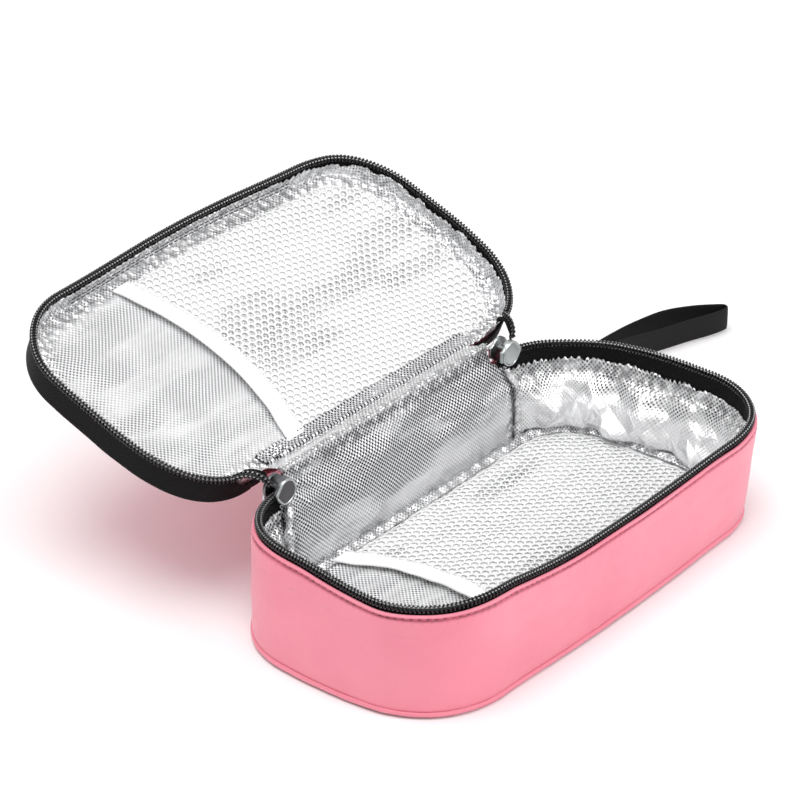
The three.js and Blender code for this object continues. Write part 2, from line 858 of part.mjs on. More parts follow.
function box(low, high) {
  const size = new THREE.Vector3().subVectors(high, low);
  const middle = new THREE.Vector3().addVectors(low, high).multiplyScalar(1 / 2);
  const geometry = new THREE.BoxGeometry(Math.abs(size.x), Math.abs(size.y), Math.abs(size.z));
  return geometry.translate(middle.x, middle.y, middle.z);
}

// Depths across the slider, measured in from the middle of the tape.
const inner_plate = chain_half_width + slider_clearance;
const outer_plate = -(tape_middle + hem_fold + layer_gap + layer_gap / 3);
const lip_depth = tape_thickness / 2 + slider_clearance;
const plate_outside = outer_plate - plate_thickness;

function sliderSolid(facing) {
  const into = (depth) => facing * depth;
  const inner = slab(plateShape(), into(inner_plate), into(inner_plate + plate_thickness), 5);
  const outer = slab(plateShape(), into(outer_plate), into(plate_outside), 5);
  let solid = asSolid(inner).add(asSolid(outer));
  const post = box(
    new THREE.Vector3(-post_half, into(outer_plate - layer_gap), tooth_wave),
    new THREE.Vector3(post_half, into(inner_plate + layer_gap), tooth_wave + post_height),
  );
  solid = solid.add(asSolid(post));
  const ring = asSolid(slab(plateShape(), into(inner_plate + layer_gap), into(lip_depth), 5));
  const reach = plate_radius + plate_nose;
  const middle_height = plate_radius - lip_height;
  const middle = asSolid(box(
    new THREE.Vector3(-reach, into(lip_depth - layer_gap), -middle_height),
    new THREE.Vector3(reach, into(inner_plate), middle_height),
  ));
  solid = solid.add(ring.subtract(middle));
  const stand = plate_outside - bridge_stand;
  for (const x of [bridge_front, bridge_back]) {
    const foot = new THREE.Vector3(x, into(plate_outside + layer_gap), 0);
    const head = new THREE.Vector3(x, into(stand), 0);
    solid = solid.add(asSolid(bar(foot, head, bridge_radius)));
  }
  const beam = box(
    new THREE.Vector3(bridge_back - bridge_radius, into(stand), -bridge_radius),
    new THREE.Vector3(bridge_front + bridge_radius, into(stand - bridge_radius), bridge_radius),
  );
  return asGeometry(solid.add(asSolid(beam)));
}

// Pull: a flat tab that hangs from the bridge's front leg by its eye.
function pullSolid(facing) {
  const shape = new THREE.Shape();
  shape.absarc(0, 0, pull_head, 0, Math.PI, false);
  shape.lineTo(-pull_half_width, -pull_head * 2);
  shape.lineTo(-pull_half_width, -pull_length + pull_half_width);
  shape.absarc(0, -pull_length + pull_half_width, pull_half_width, Math.PI, 2 * Math.PI, false);
  shape.lineTo(pull_half_width, -pull_head * 2);
  const eye = new THREE.Path();
  eye.absarc(0, 0, pull_eye, 0, 2 * Math.PI, true);
  const window = new THREE.Path();
  const window_half = pull_half_width / 2;
  const window_low = -pull_length + 2 * pull_half_width;
  window.moveTo(-window_half, -pull_head * 2);
  window.lineTo(window_half, -pull_head * 2);
  window.lineTo(window_half, window_low);
  window.lineTo(-window_half, window_low);
  window.closePath();
  shape.holes.push(eye, window);
  const near = facing * (plate_outside - pull_gap);
  const far = facing * (plate_outside - pull_gap - pull_thickness);
  return slab(shape, near, far, 4).translate(bridge_front, 0, 0);
}

function buildSliders() {
  for (const [side, word] of [[-1, "left"], [1, "right"]]) {
    const place = new THREE.Group();
    place.position.set(
      side * (corner_x - slider_from_corner),
      half_width - tape_middle,
      zip_height + slider_lift,
    );
    place.rotation.z = side < 0 ? Math.PI : 0;
    cooling_case.add(place);
    addTo(place, `slider_${word}`, sliderSolid(-side), finishes.metal);
    addTo(place, `slider_pull_${word}`, pullSolid(-side), finishes.metal);
  }
}

// Wrist strap: one length of flat webbing, doubled into a loop, with both ends sewn into the
// back right corner seam. Its plan route runs out, round the fold and back.
const strap_width = 10;
const strap_thickness = 1.1;
const strap_root_drop = 22.5;
const strap_root_height = zip_height - strap_root_drop;
const strap_floor_height = 5.6;
const strap_out_shares = [
  [0.0, 0.0],
  [0.24, 0.012],
  [0.46, 0.035],
  [0.61, 0.05],
  [0.74, 0.052],
  [0.85, 0.03],
  [0.93, -0.018],
  [0.985, -0.07],
];
const strap_fold_shares = [
  [1.0, -0.092],
  [0.985, -0.106],
];
const strap_back_shares = [
  [0.93, -0.094],
  [0.85, -0.064],
  [0.74, -0.03],
  [0.61, -0.002],
  [0.46, 0.006],
  [0.24, -0.003],
  [0.0, -0.0145],
];
const strap_reach = 137;
const strap_root_gap = 0.35;
const strap_landing_share = 0.8;

function strapPoint([along_share, across_share]) {
  const landing = THREE.MathUtils.smoothstep(along_share, 0, strap_landing_share);
  return new THREE.Vector3(
    corner_x + strap_reach * along_share,
    half_width + strap_root_gap + strap_thickness * 2 + strap_reach * across_share,
    THREE.MathUtils.lerp(strap_root_height, strap_floor_height, landing),
  );
}

const strap_steps = 40;

function buildStrap() {
  const shares = [...strap_out_shares, ...strap_fold_shares, ...strap_back_shares];
  const route = new THREE.CatmullRomCurve3(shares.map(strapPoint));
  const rings = [];
  for (let k = 0; k <= strap_steps; k += 1) {
    const point = route.getPointAt(k / strap_steps);
    const along = route.getTangentAt(k / strap_steps);
    const side = new THREE.Vector3(along.y, -along.x, 0).normalize();
    side.multiplyScalar(strap_thickness / 2);
    rings.push([[1, -1], [1, 1], [-1, 1], [-1, -1]].map(([across, up]) => new THREE.Vector3(
      point.x + side.x * across,
      point.y + side.y * across,
      point.z + (up * strap_width) / 2,
    )));
  }
  addTo(cooling_case, "wrist_strap_loop", ringSkin(rings), finishes.strap);
}

buildBottom();
buildWalls();
buildFloor();
buildBack();
buildSeams();
buildBaseZip();
buildLidPanels();
buildLidFlap();
buildLidZip();
buildZipEnds();
buildPocket(base, "base", base_net_inset, floor_foil_high + layer_gap, 1);
buildPocket(lid, "lid", lid_net_inset, zip_height + lid_foil_height - layer_gap, -1);
buildSliders();
buildStrap();

export default cooling_case;
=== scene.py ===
# %% [markdown]
# # A soft insulated zip case, lying open
# The real object is a small padded box of pink woven fabric. A zip runs round three sides of it,
# a sewn hinge joins the lid along the back, and the inside is lined with silver film and two
# white net pockets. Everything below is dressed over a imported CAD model, which stays the frame:
# each soft solid of that model is replaced by a piece of cloth built here, in the same place.

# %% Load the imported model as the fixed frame
import math

import bmesh
import bpy
import numpy as np
from mathutils import Matrix, Vector


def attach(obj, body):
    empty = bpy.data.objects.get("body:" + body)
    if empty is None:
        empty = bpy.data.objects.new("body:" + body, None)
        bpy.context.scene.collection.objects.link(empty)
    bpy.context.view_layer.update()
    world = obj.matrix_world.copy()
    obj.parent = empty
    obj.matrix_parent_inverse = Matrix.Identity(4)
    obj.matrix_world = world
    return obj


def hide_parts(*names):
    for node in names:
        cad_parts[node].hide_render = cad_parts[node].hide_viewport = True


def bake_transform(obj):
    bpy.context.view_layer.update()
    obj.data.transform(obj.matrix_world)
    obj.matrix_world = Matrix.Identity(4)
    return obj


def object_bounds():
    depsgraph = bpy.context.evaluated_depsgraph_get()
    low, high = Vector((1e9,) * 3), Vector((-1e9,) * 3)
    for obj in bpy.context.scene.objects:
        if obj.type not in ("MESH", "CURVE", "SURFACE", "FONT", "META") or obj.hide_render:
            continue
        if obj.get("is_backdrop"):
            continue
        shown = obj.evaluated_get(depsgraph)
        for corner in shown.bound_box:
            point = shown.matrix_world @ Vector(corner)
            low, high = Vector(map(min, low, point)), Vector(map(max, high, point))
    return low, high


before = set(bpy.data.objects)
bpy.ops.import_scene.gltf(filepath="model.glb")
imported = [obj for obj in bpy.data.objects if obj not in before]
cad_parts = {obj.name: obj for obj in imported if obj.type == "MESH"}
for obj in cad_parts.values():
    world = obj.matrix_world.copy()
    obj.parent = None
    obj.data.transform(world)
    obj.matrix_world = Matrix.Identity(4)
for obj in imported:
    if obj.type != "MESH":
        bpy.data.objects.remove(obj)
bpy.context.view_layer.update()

# %% [markdown]
# ## Sizes
# A soft case is drawn from one outline, a rectangle with round corners, and from layers that lie
# at growing insets from it. The numbers repeat those of the CAD model and are in millimetres,
# because every layer of a sewn case is known by its thickness in millimetres. One factor turns
# them to metres where a mesh is made.

# %% Driving sizes in millimetres
MM = 0.001
half_length, half_width, corner_radius = 100.0, 53.0, 33.0
corner_x, corner_y = half_length - corner_radius, half_width - corner_radius
zip_height = 44.5
hinge_y, hinge_z = half_width + 3.25, zip_height + 3.4
lid_open_angle = math.radians(158.6)
arc_length = math.pi / 2 * corner_radius
zip_length = 4 * arc_length + 4 * corner_y + 2 * corner_x
whole_length = zip_length + 2 * corner_x
tape_middle = 1.7  # the zip's middle plane, inside the rim
flex_length = 13.4  # the part of each end of the lid's zip that twists
slider_clear = 3.6  # where the coil comes out of the slider
film_thick, foil_edge_thick, fabric_thick, tape_thick, band_thick = 0.45, 0.3, 0.9, 0.75, 0.8
print("zip runs", round(zip_length), "mm of a rim of", round(whole_length), "mm")

# %% [markdown]
# ## The camera
# The camera stands where the photograph was taken from. It was found by fitting this outline to
# the rims in the photograph: a long lens, 51 degrees round to the left of the front and 29.5
# degrees above the table.

# %% Camera at the photograph's angle
camera_turn, camera_rise = math.radians(-51.0), math.radians(29.5)
camera_distance = 1392.9
camera_target = Vector((17.9, 63.7, 40.0)) * MM
picture_width, focal_pixels, sensor = 800, 3711.3, 36.0

camera = bpy.data.objects.new("camera", bpy.data.cameras.new("camera"))
bpy.context.scene.collection.objects.link(camera)
bpy.context.scene.camera = camera
back = Vector((
    math.sin(camera_turn) * math.cos(camera_rise),
    -math.cos(camera_turn) * math.cos(camera_rise),
    math.sin(camera_rise),
))
camera.data.sensor_width = sensor
camera.data.lens = focal_pixels / picture_width * sensor
camera.data.clip_start, camera.data.clip_end = 0.05, 20.0
camera.location = camera_target + back * camera_distance * MM
camera.rotation_mode = "QUATERNION"
camera.rotation_quaternion = (-back).to_track_quat("-Z", "Y")
print("lens", round(camera.data.lens, 1), "mm")

# %% [markdown]
# ## One helper for nodes, one for colours
# Both materials and Geometry Nodes are trees of nodes. A single small function adds any node,
# sets its options and joins its inputs, so that a tree reads like a recipe. Colours are written
# as the hex values that a screen shows, and one function turns them into the linear numbers
# that the renderer works with.

# %% Node and colour helpers
def linear(hex_colour):
    """The linear colour of an sRGB hex value."""
    shares = [int(hex_colour[k:k + 2], 16) / 255 for k in (0, 2, 4)]
    return [s / 12.92 if s <= 0.04045 else ((s + 0.055) / 1.055) ** 2.4 for s in shares] + [1.0]


def add(tree, kind, inputs=(), **settings):
    """Adds a node, sets its options and fills its inputs, by name or as a list in the order in
    which the node shows them. A node given as an input stands for its first output."""
    node = tree.nodes.new(kind)
    for name, value in settings.items():
        setattr(node, name, value)
    if not isinstance(inputs, dict):
        inputs = dict(zip([n for n, socket in enumerate(node.inputs) if socket.enabled], inputs))
    for key, value in inputs.items():
        if isinstance(value, bpy.types.Node):
            value = next(socket for socket in value.outputs if socket.enabled)
        if isinstance(value, bpy.types.NodeSocket):
            tree.links.new(value, node.inputs[key])
        else:
            node.inputs[key].default_value = value
    return node


def new_material(name, finish, *values, **options):
    """A material. finish is a function that grows its nodes and returns the shader's inputs."""
    material = bpy.data.materials.new(name)
    material.use_nodes = True
    tree = material.node_tree
    tree.nodes.clear()
    shader = add(tree, "ShaderNodeBsdfPrincipled", finish(tree, *values, **options))
    add(tree, "ShaderNodeOutputMaterial", [shader])
    return material


print("the case's pink in linear numbers:", [round(share, 3) for share in linear("e77a8f")])

# %% [markdown]
# ## Threads as waves
# Woven cloth shows as crossing ridges. A sine of the distance across the threads is the
# cheapest model of them, and it follows the cloth when it reads the piece's own UV map, which
# every cloth here has in metres. Dye, dust and slack vary more slowly, like a cloud, so a noise
# over the whole object gives those.

# %% Patterns that several finishes share
def weave(tree, pitch, cross=None, turn=0):
    """Ridges from -1 to 1, one every pitch millimetres, turned by degrees. With cross they are
    cut by others that run the other way."""
    uv = add(tree, "ShaderNodeUVMap", uv_map="cloth")
    turned = add(tree, "ShaderNodeMapping", {
        "Vector": uv,
        "Rotation": (0, 0, math.radians(turn)),
        "Scale": (1 / MM, 1 / MM, 1),
    })
    axes = add(tree, "ShaderNodeSeparateXYZ", [turned])
    sines = []
    for axis, step in (("X", pitch), ("Y", cross)):
        if step:
            turns = [axes.outputs[axis], 2 * math.pi / step]
            phase = add(tree, "ShaderNodeMath", turns, operation="MULTIPLY")
            sines.append(add(tree, "ShaderNodeMath", [phase], operation="SINE"))
    return add(tree, "ShaderNodeMath", sines, operation="MULTIPLY") if cross else sines[0]


def blotches(tree, size, detail=3.0):
    """Cloudy variation over the object, with features of about size millimetres."""
    return add(tree, "ShaderNodeTexNoise", {
        "Vector": add(tree, "ShaderNodeTexCoord").outputs["Object"],
        "Scale": 1 / (size * MM),
        "Detail": detail,
        "Roughness": 0.55,
    })


print("blotches of 9 mm take a noise scale of", round(1 / (9 * MM), 1))

# %% [markdown]
# ## Pink oxford fabric
# The shell is a plain-woven polyester oxford with a thin coating: a warm pink with a soft sheen
# where threads catch the light. The threads of the real cloth are about 0.35 mm apart, which is
# finer than a pixel here, so they are drawn 0.8 mm apart and very shallow, with a painted
# highlight on their crests. A number stored on the points, called "seam", is near 1 in the groove
# of a sewn hem, where the colour is darkened to a painted shade.

# %% Pink oxford
def oxford(tree):
    """The pink cloth: cloudy dye, lit threads and a shaded groove at the hem."""
    threads = weave(tree, 0.8, 0.8, 38)
    cloud = add(tree, "ShaderNodeMapRange", [blotches(tree, 45), 0.35, 0.65, 0, 1])
    crest = add(tree, "ShaderNodeMapRange", [threads, -2.0, 1.0, 0.0, 0.16])
    groove = add(tree, "ShaderNodeAttribute", attribute_name="seam").outputs["Fac"]
    shade = linear("e77a8f")
    # cloud is dye; crest is a painted highlight on the threads and groove a painted shade in the
    # hem
    for share, colour in ((cloud, "ed8699"), (crest, "ffb9c8"), (groove, "7a3042")):
        shade = add(tree, "ShaderNodeMix", [share, shade, linear(colour)], data_type="RGBA")
    slack = add(tree, "ShaderNodeBump", {"Height": blotches(tree, 9, 2.0), "Distance": 0.35 * MM})
    relief = {"Height": threads, "Distance": 0.03 * MM, "Normal": slack}
    return {
        "Base Color": shade,
        "Roughness": 0.42,
        "Sheen Weight": 0.45,
        "Sheen Roughness": 0.4,
        "Sheen Tint": linear("ffd2dc"),
        "Normal": add(tree, "ShaderNodeBump", relief),
    }


pink = new_material("pink_oxford_polyester", oxford)
print("nodes in the pink:", len(pink.node_tree.nodes))

# %% [markdown]
# ## Aluminised film
# The lining is polyester film with a vapour of aluminium on it, bonded to a thin woven scrim.
# The scrim shows through as rows of small dark dots 1.25 mm apart, which lie at 45 degrees to the
# panel. Where the film is gathered into a seam it crumples to small flat facets, and each facet
# mirrors another part of the room; the colour adds a painted shade between facets and a painted
# glint in the middle of each. Three numbers stored on the points say where the film changes:
# - "gather" is 1 in a seam and 0 on a calm panel.
# - "plain" is 1 where the film hangs free of its scrim: hardly any dot shows, which is painted
#   light, and it folds to large flat facets.
# - "veiled" is 1 under a net, where the dots fade to a painted light and the shine drops. In
#   streaks where the film lies in folds it is lower, so the dots there paint the folds' shade.

# %% Silver film lining
def silver_film(tree, contrast=1.0, crinkle=0.25, everywhere=0.0, bright="fcfcfd",
                pocket="48494c", mirror=0.85, crease=0.0, full_dot=0.55):
    """Film with dark scrim dots, which grow as full_dot falls. Its soft dents are crinkle deep,
    in millimetres, and the large facets of free film are crease deep."""
    diagonal = 1.25 * math.sqrt(2)
    dots = weave(tree, diagonal, diagonal)
    gather, plain, veiled = (
        add(tree, "ShaderNodeAttribute", attribute_name=name).outputs["Fac"]
        for name in ("gather", "plain", "veiled"))
    crumpled = add(tree, "ShaderNodeMath", [gather, everywhere], operation="ADD", use_clamp=True)
    place = add(tree, "ShaderNodeTexCoord").outputs["Object"]

    # The dots are fainter in some streaks along the panel, and fade as painted light on free film
    # and under a net.
    drawn_out = add(tree, "ShaderNodeMapping", {"Vector": place, "Scale": (0.22, 1, 1)})
    streaks = add(tree, "ShaderNodeTexNoise", {
        "Vector": drawn_out,
        "Scale": 1 / (7 * MM),
        "Detail": 2.0,
    })
    dark = add(tree, "ShaderNodeMapRange", [streaks, 0.35, 0.62, 0.3 * contrast, contrast])
    for steps in ([dots, -0.05, full_dot, 0, 1], [plain, 0, 1, 1, 0.18], [veiled, 0, 1, 1, 0.15]):
        share = add(tree, "ShaderNodeMapRange", steps)
        dark = add(tree, "ShaderNodeMath", [dark, share], operation="MULTIPLY")
    colour = add(tree, "ShaderNodeMix", [dark, linear(bright), linear("222326")],
                 data_type="RGBA")

    # Crumpled film gets a painted shade between its facets, in the colour pocket, and a painted
    # glint in the middle of each.
    facets = add(tree, "ShaderNodeTexVoronoi", {"Vector": place, "Scale": 1 / (2.7 * MM)})
    for steps, tone in (([facets, 0.35, 0.75, 0.0, 0.55], pocket),
                        ([facets, 0.05, 0.3, 0.8, 0.0], "fdfdfd")):
        spot = add(tree, "ShaderNodeMapRange", steps)
        share = add(tree, "ShaderNodeMath", [spot, crumpled], operation="MULTIPLY")
        colour = add(tree, "ShaderNodeMix", [share, colour, linear(tone)], data_type="RGBA")

    # Bumps lie on each other: soft dents, large facets, small facets and the scrim. A Manhattan
    # distance makes pyramids of the cells, whose flat sides mirror like folded foil.
    tilted = add(tree, "ShaderNodeMapping", {"Vector": place, "Rotation": (0.5, 0.35, 0.8)})
    pyramids = add(tree, "ShaderNodeTexVoronoi", {"Vector": tilted, "Scale": 1 / (13 * MM)},
                   distance="MANHATTAN")
    folded = add(tree, "ShaderNodeMath", [pyramids, plain], operation="MULTIPLY")
    crushed = add(tree, "ShaderNodeMath", [facets, crumpled], operation="MULTIPLY")
    relief = {}
    for height, depth in ((blotches(tree, 7), crinkle), (folded, crease), (crushed, 0.8),
                          (dots, 0.04 * contrast)):
        layer = {"Height": height, "Distance": depth * MM, **relief}
        relief = {"Normal": add(tree, "ShaderNodeBump", layer)}
    metal = add(tree, "ShaderNodeMapRange", [veiled, 0, 1, mirror, 0.4 * mirror])
    return {"Base Color": colour, "Metallic": metal, "Roughness": 0.34, **relief}


# These five materials are one film. The lid's copy is painted lighter, with fainter dots and a
# lighter facet shade, and the back's copy darker, with stronger dots: painted light and shade.
film_lining = new_material("aluminised_film_lining", silver_film, contrast=1.15, mirror=0.6,
                           crease=3.5)
film_lid = new_material("aluminised_film_lid_lit_copy", silver_film, contrast=0.85, crinkle=0.16,
                        bright="fbfbfc", pocket="8a8b8e", mirror=0.75)
film_back = new_material("aluminised_film_back_shaded_copy", silver_film, contrast=2.3, crinkle=0.35,
                         bright="f0f0f2", mirror=0.65, crease=1.2, full_dot=0.22)
film_edge = new_material("aluminised_film_edge_strip", silver_film, contrast=1.7, crinkle=0.2,
                         bright="e8e8ea")
film_binding = new_material("aluminised_film_binding", silver_film, contrast=0.8, crinkle=0.5,
                            everywhere=0.6)
print("nodes in a film:", len(film_lining.node_tree.nodes))

# %% [markdown]
# ## Woven bands: tape, elastic and webbing
# Three narrow bands are woven with ribs. The zip tape is black polyester twill, matt, with a
# faint slanting rib. The pocket mouths are bound with white elastic, ribbed along its length. The
# wrist strap is black polypropylene webbing with a rib across its width every millimetre, and its
# warp crosses that. Black cloth soaks up light between its threads, so its mirror share is low.

# %% Twill, elastic and webbing
def ribbed_cloth(tree, dark, light, pitch, roughness, depth, cross=None, turn=0, specular=0.5):
    """Woven ribs, dark in their valleys. pitch, cross and depth are in millimetres."""
    rib = weave(tree, pitch, cross, turn)
    share = add(tree, "ShaderNodeMapRange", [rib, -1, 1, 0, 1])
    return {
        "Base Color": add(tree, "ShaderNodeMix", [share, linear(dark), linear(light)],
                          data_type="RGBA"),
        "Roughness": roughness,
        "Specular IOR Level": specular,
        "Normal": add(tree, "ShaderNodeBump", {"Height": rib, "Distance": depth * MM}),
    }


tape_twill = new_material("black_polyester_twill", ribbed_cloth, "0b0b0c", "161617", 0.9, 0.62,
                          0.05, turn=60, specular=0.1)
band_elastic = new_material("white_elastic_band", ribbed_cloth, "f4f5f5", "ffffff", 1.0, 0.6,
                            0.03, turn=90)
webbing = new_material("black_polypropylene_webbing", ribbed_cloth, "121213", "1c1c1d", 1.1, 0.6,
                       0.025, cross=2.4, specular=0.15)
print("woven bands:", tape_twill.name, band_elastic.name, webbing.name)

# %% [markdown]
# ## Coil, thread, foam and metal
# The zip's teeth are one black nylon filament wound to a coil, glossier than the tape, with a
# painted highlight on its bends. Threads and knitted yarn are spun, so they are matt. The foam is
# white closed-cell polyethylene, matt and slightly warm. The sliders are die-cast zinc with a
# nickel finish, polished by tumbling, which leaves soft wide highlights. The left one is a darker
# copy of that nickel, and its inner plate has a dull grey field; both are painted reflection.

# %% Nylon, thread, foam and nickel
def coil_nylon(tree):
    """Glossy black nylon, with a painted highlight where a number called "bend" is near 1."""
    bend = add(tree, "ShaderNodeAttribute", attribute_name="bend").outputs["Fac"]
    # Painted highlight on the bends of the coil.
    bend_highlight = add(tree, "ShaderNodeMapRange", [bend, 0.68, 1.0, 0.0, 1.0])
    shade = add(tree, "ShaderNodeMix", [bend_highlight, linear("0a0a0b"), linear("d4d4d7")],
                data_type="RGBA")
    return {"Base Color": shade, "Roughness": 0.2, "Specular IOR Level": 0.45}


def plain_finish(tree, colour, roughness, speckle=0.06, metallic=0.0, grain=0.6, depth=0.02):
    """A moulded or spun finish with slight cloudiness and a fine grain."""
    darker = [channel * (1 - speckle * 3) for channel in linear(colour)[:3]] + [1.0]
    return {
        "Base Color": add(tree, "ShaderNodeMix", [blotches(tree, 2.5, 2.0), darker, linear(colour)],
                          data_type="RGBA"),
        "Roughness": roughness,
        "Metallic": metallic,
        "Normal": add(tree, "ShaderNodeBump", {
            "Height": blotches(tree, grain, 1.0),
            "Distance": depth * MM,
        }),
    }


nylon_coil = new_material("black_nylon_coil", coil_nylon)
pink_thread, white_thread, grey_thread, dark_thread, net_yarn, white_foam = (
    new_material(name, plain_finish, colour, roughness) for name, colour, roughness in (
        ("pink_polyester_thread", "e8768f", 0.6),
        ("white_polyester_thread", "f2f2f2", 0.6),
        ("grey_polyester_thread", "a9abad", 0.55),
        ("dark_polyester_thread", "505153", 0.6),
        ("white_knitted_yarn", "fbfbfb", 0.55),
        ("white_pe_foam", "f2f1ec", 0.9),
    ))
# The second and third are a darker copy of the nickel and a grey field: painted reflection on the
# left slider.
bright_nickel, shaded_nickel, reflection_field = (
    new_material(name, plain_finish, colour, roughness, 0.03, metallic, 1.2, 0.01)
    for name, colour, roughness, metallic in (
        ("tumbled_nickel", "c9cdcd", 0.3, 1.0),
        ("tumbled_nickel_shaded_copy", "77787b", 0.3, 1.0),
        ("painted_reflection_field", "5d5b5d", 0.45, 0.6),
    ))
print("materials:", len(bpy.data.materials))

# %% [markdown]
# ## Cloth from a grid
# Each soft piece is a grid of points: one direction runs along the case's rim or its length, the
# other across the cloth. That keeps the UV map true to real distances, which the threads need.
# Wrinkles are moves of the points, from smooth random fields with fixed seeds, so that every
# run of this file gives the same cloth.

# %% Random fields
def field(points, scale, seed):
    """Smooth random values from -1 to 1, with one feature for every scale, at points (..., n)."""
    q = np.asarray(points, float) / scale
    cell = np.floor(q).astype(np.int64)
    t = q - cell
    t = t * t * (3 - 2 * t)
    total = np.zeros(q.shape[:-1])
    primes = (73856093, 19349663, 83492791)
    for corner in range(2 ** q.shape[-1]):
        weight = np.ones(q.shape[:-1])
        key = np.full(q.shape[:-1], seed * 2654435761, np.uint64)
        for axis in range(q.shape[-1]):
            bit = corner >> axis & 1
            weight = weight * (t[..., axis] if bit else 1 - t[..., axis])
            key = key ^ ((cell[..., axis] + bit) * primes[axis]).astype(np.uint64)
        key = (key ^ (key >> np.uint64(13))) * np.uint64(1274126177)
        key = (key ^ (key >> np.uint64(16))) & np.uint64(0xFFFFFF)
        total += weight * (key.astype(float) / 0x7FFFFF - 1)
    return total


def smooth(value, low, high):
    """0 below low, 1 above high and an even S between them."""
    t = np.clip((np.asarray(value, float) - low) / (high - low), 0, 1)
    return t * t * (3 - 2 * t)


print("a field's values:", np.round(field(np.array([[0.0], [5.0], [9.0]]), 10, 1), 2))

# %% [markdown]
# ## From points to a piece
# A mesh in Blender is a list of points and a list of faces that name them. These helpers number
# the faces of a grid, keep the UV map, and join each finished piece to the body of the packed
# model that it rides on, and hide the plain solid that it stands for.

# %% Grid helpers
def show(name, mesh, material):
    """Puts a mesh in the scene as a smooth piece with one material."""
    piece = bpy.data.objects.new(name, mesh)
    bpy.context.scene.collection.objects.link(piece)
    mesh.materials.clear()
    mesh.materials.append(material)
    mesh.polygons.foreach_set("use_smooth", np.ones(len(mesh.polygons), bool))
    mesh.update()
    return piece


def cloth(name, points, uv, material, loop_u=False, loop_v=False, flip=False):
    """A grid of points (rows u, columns v, 3) in millimetres as a piece of cloth with its UVs."""
    rows, columns = points.shape[:2]
    number = np.arange(rows * columns).reshape(rows, columns)
    number = np.pad(number, ((0, int(loop_u)), (0, int(loop_v))), mode="wrap")
    corners = [number[:-1, :-1], number[1:, :-1], number[1:, 1:], number[:-1, 1:]]
    if flip:
        corners = [corners[k] for k in (0, 3, 2, 1)]
    quads = np.stack(corners, -1).reshape(-1, 4)
    mesh = bpy.data.meshes.new(name)
    mesh.from_pydata((points.reshape(-1, 3) * MM).tolist(), [], quads.tolist())
    places = np.broadcast_to(uv, (rows, columns, 2)).reshape(-1, 2) * MM
    mesh.uv_layers.new(name="cloth").data.foreach_set("uv", places[quads.ravel()].ravel())
    return show(name, mesh, material)


def run_lengths(points):
    """How far along a line each of its points lies."""
    steps = np.linalg.norm(np.diff(points, axis=0), axis=1)
    return np.concatenate([[0], np.cumsum(steps)])


def pairs_of(along, across):
    """Every pair of a distance along and one across, as a grid for a UV map."""
    return np.stack(np.meshgrid(along, across, indexing="ij"), -1)


def finish_piece(piece, body, slot, *nodes):
    """Joins a piece to its CAD body and hides the CAD nodes that it stands for. slot is not used.
    """
    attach(piece, body)
    if nodes:
        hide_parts(*nodes)
    return piece


def places_in(mesh):
    """The points of a mesh, in millimetres."""
    flat = np.empty(len(mesh.vertices) * 3, np.float32)
    mesh.vertices.foreach_get("co", flat)
    return flat.reshape(-1, 3).astype(float) / MM


def paint(piece, name, value_at):
    """Stores a number on every point, found from the point's place in millimetres."""
    values = value_at(places_in(piece.data)).astype(np.float32)
    piece.data.attributes.new(name, "FLOAT", "POINT").data.foreach_set("value", values)


def move_points(piece, move):
    """Moves every point of a piece by a function of points in millimetres."""
    points = move(places_in(piece.data)) * MM
    piece.data.vertices.foreach_set("co", points.astype(np.float32).ravel())
    piece.data.update()
    return piece


fold = np.array([(0, 0), (3, 0), (3, 4)])
print("a fold of 3 mm and 4 mm is", run_lengths(fold)[-1], "mm long")

# %% [markdown]
# ## The rim as a line
# The zip, the tape, both shells and both linings all follow one rim, so one function gives the
# place on it at any distance, with the direction that points into the case. A second function
# lets the base settle as soft walls do: the ends belly out and the long front edge sinks a
# little in its middle. The lid is built closed, above the zip line, and a third function turns
# it about the hinge line to where it lies in the photograph.

# %% Places on the rim
rim_runs = (
    ("arc", (-corner_x, corner_y), math.pi / 2, arc_length),
    ("line", (-half_length, corner_y), (0, -1), 2 * corner_y),
    ("arc", (-corner_x, -corner_y), math.pi, arc_length),
    ("line", (-corner_x, -half_width), (1, 0), 2 * corner_x),
    ("arc", (corner_x, -corner_y), 1.5 * math.pi, arc_length),
    ("line", (half_length, -corner_y), (0, 1), 2 * corner_y),
    ("arc", (corner_x, corner_y), 0.0, arc_length),
    ("line", (corner_x, half_width), (-1, 0), 2 * corner_x),
)


def rim(distance):
    """x, y and the inward direction at distances along the rim, from the back left corner."""
    s = np.mod(np.asarray(distance, float), whole_length)
    out = np.zeros(s.shape + (4,))
    start = 0.0
    for kind, point, heading, length in rim_runs:
        here = (s >= start) & (s <= start + length)
        along = s[here] - start
        if kind == "arc":
            angle = heading + along / corner_radius
            out[here] = np.stack([
                point[0] + corner_radius * np.cos(angle),
                point[1] + corner_radius * np.sin(angle),
                -np.cos(angle),
                -np.sin(angle),
            ], -1)
        else:
            out[here] = np.stack([
                point[0] + heading[0] * along,
                point[1] + heading[1] * along,
                np.full(along.shape, -heading[1]),
                np.full(along.shape, heading[0]),
            ], -1)
        start += length
    return out


def on_rim(distance, inset, height):
    """Points at distances along the rim, at insets from it and at heights; all broadcast."""
    distance, inset, height = np.broadcast_arrays(distance, inset, height)
    place = rim(distance)
    return np.stack([
        place[..., 0] + place[..., 2] * inset,
        place[..., 1] + place[..., 3] * inset,
        height,
    ], -1)


def rim_grid(distance, profile):
    """Distances, insets and heights of a profile that is repeated along the rim."""
    s = distance[:, None]
    inset = np.broadcast_to(profile[:, 0], (len(distance), len(profile)))
    return s, inset, np.broadcast_to(profile[:, 1], inset.shape)


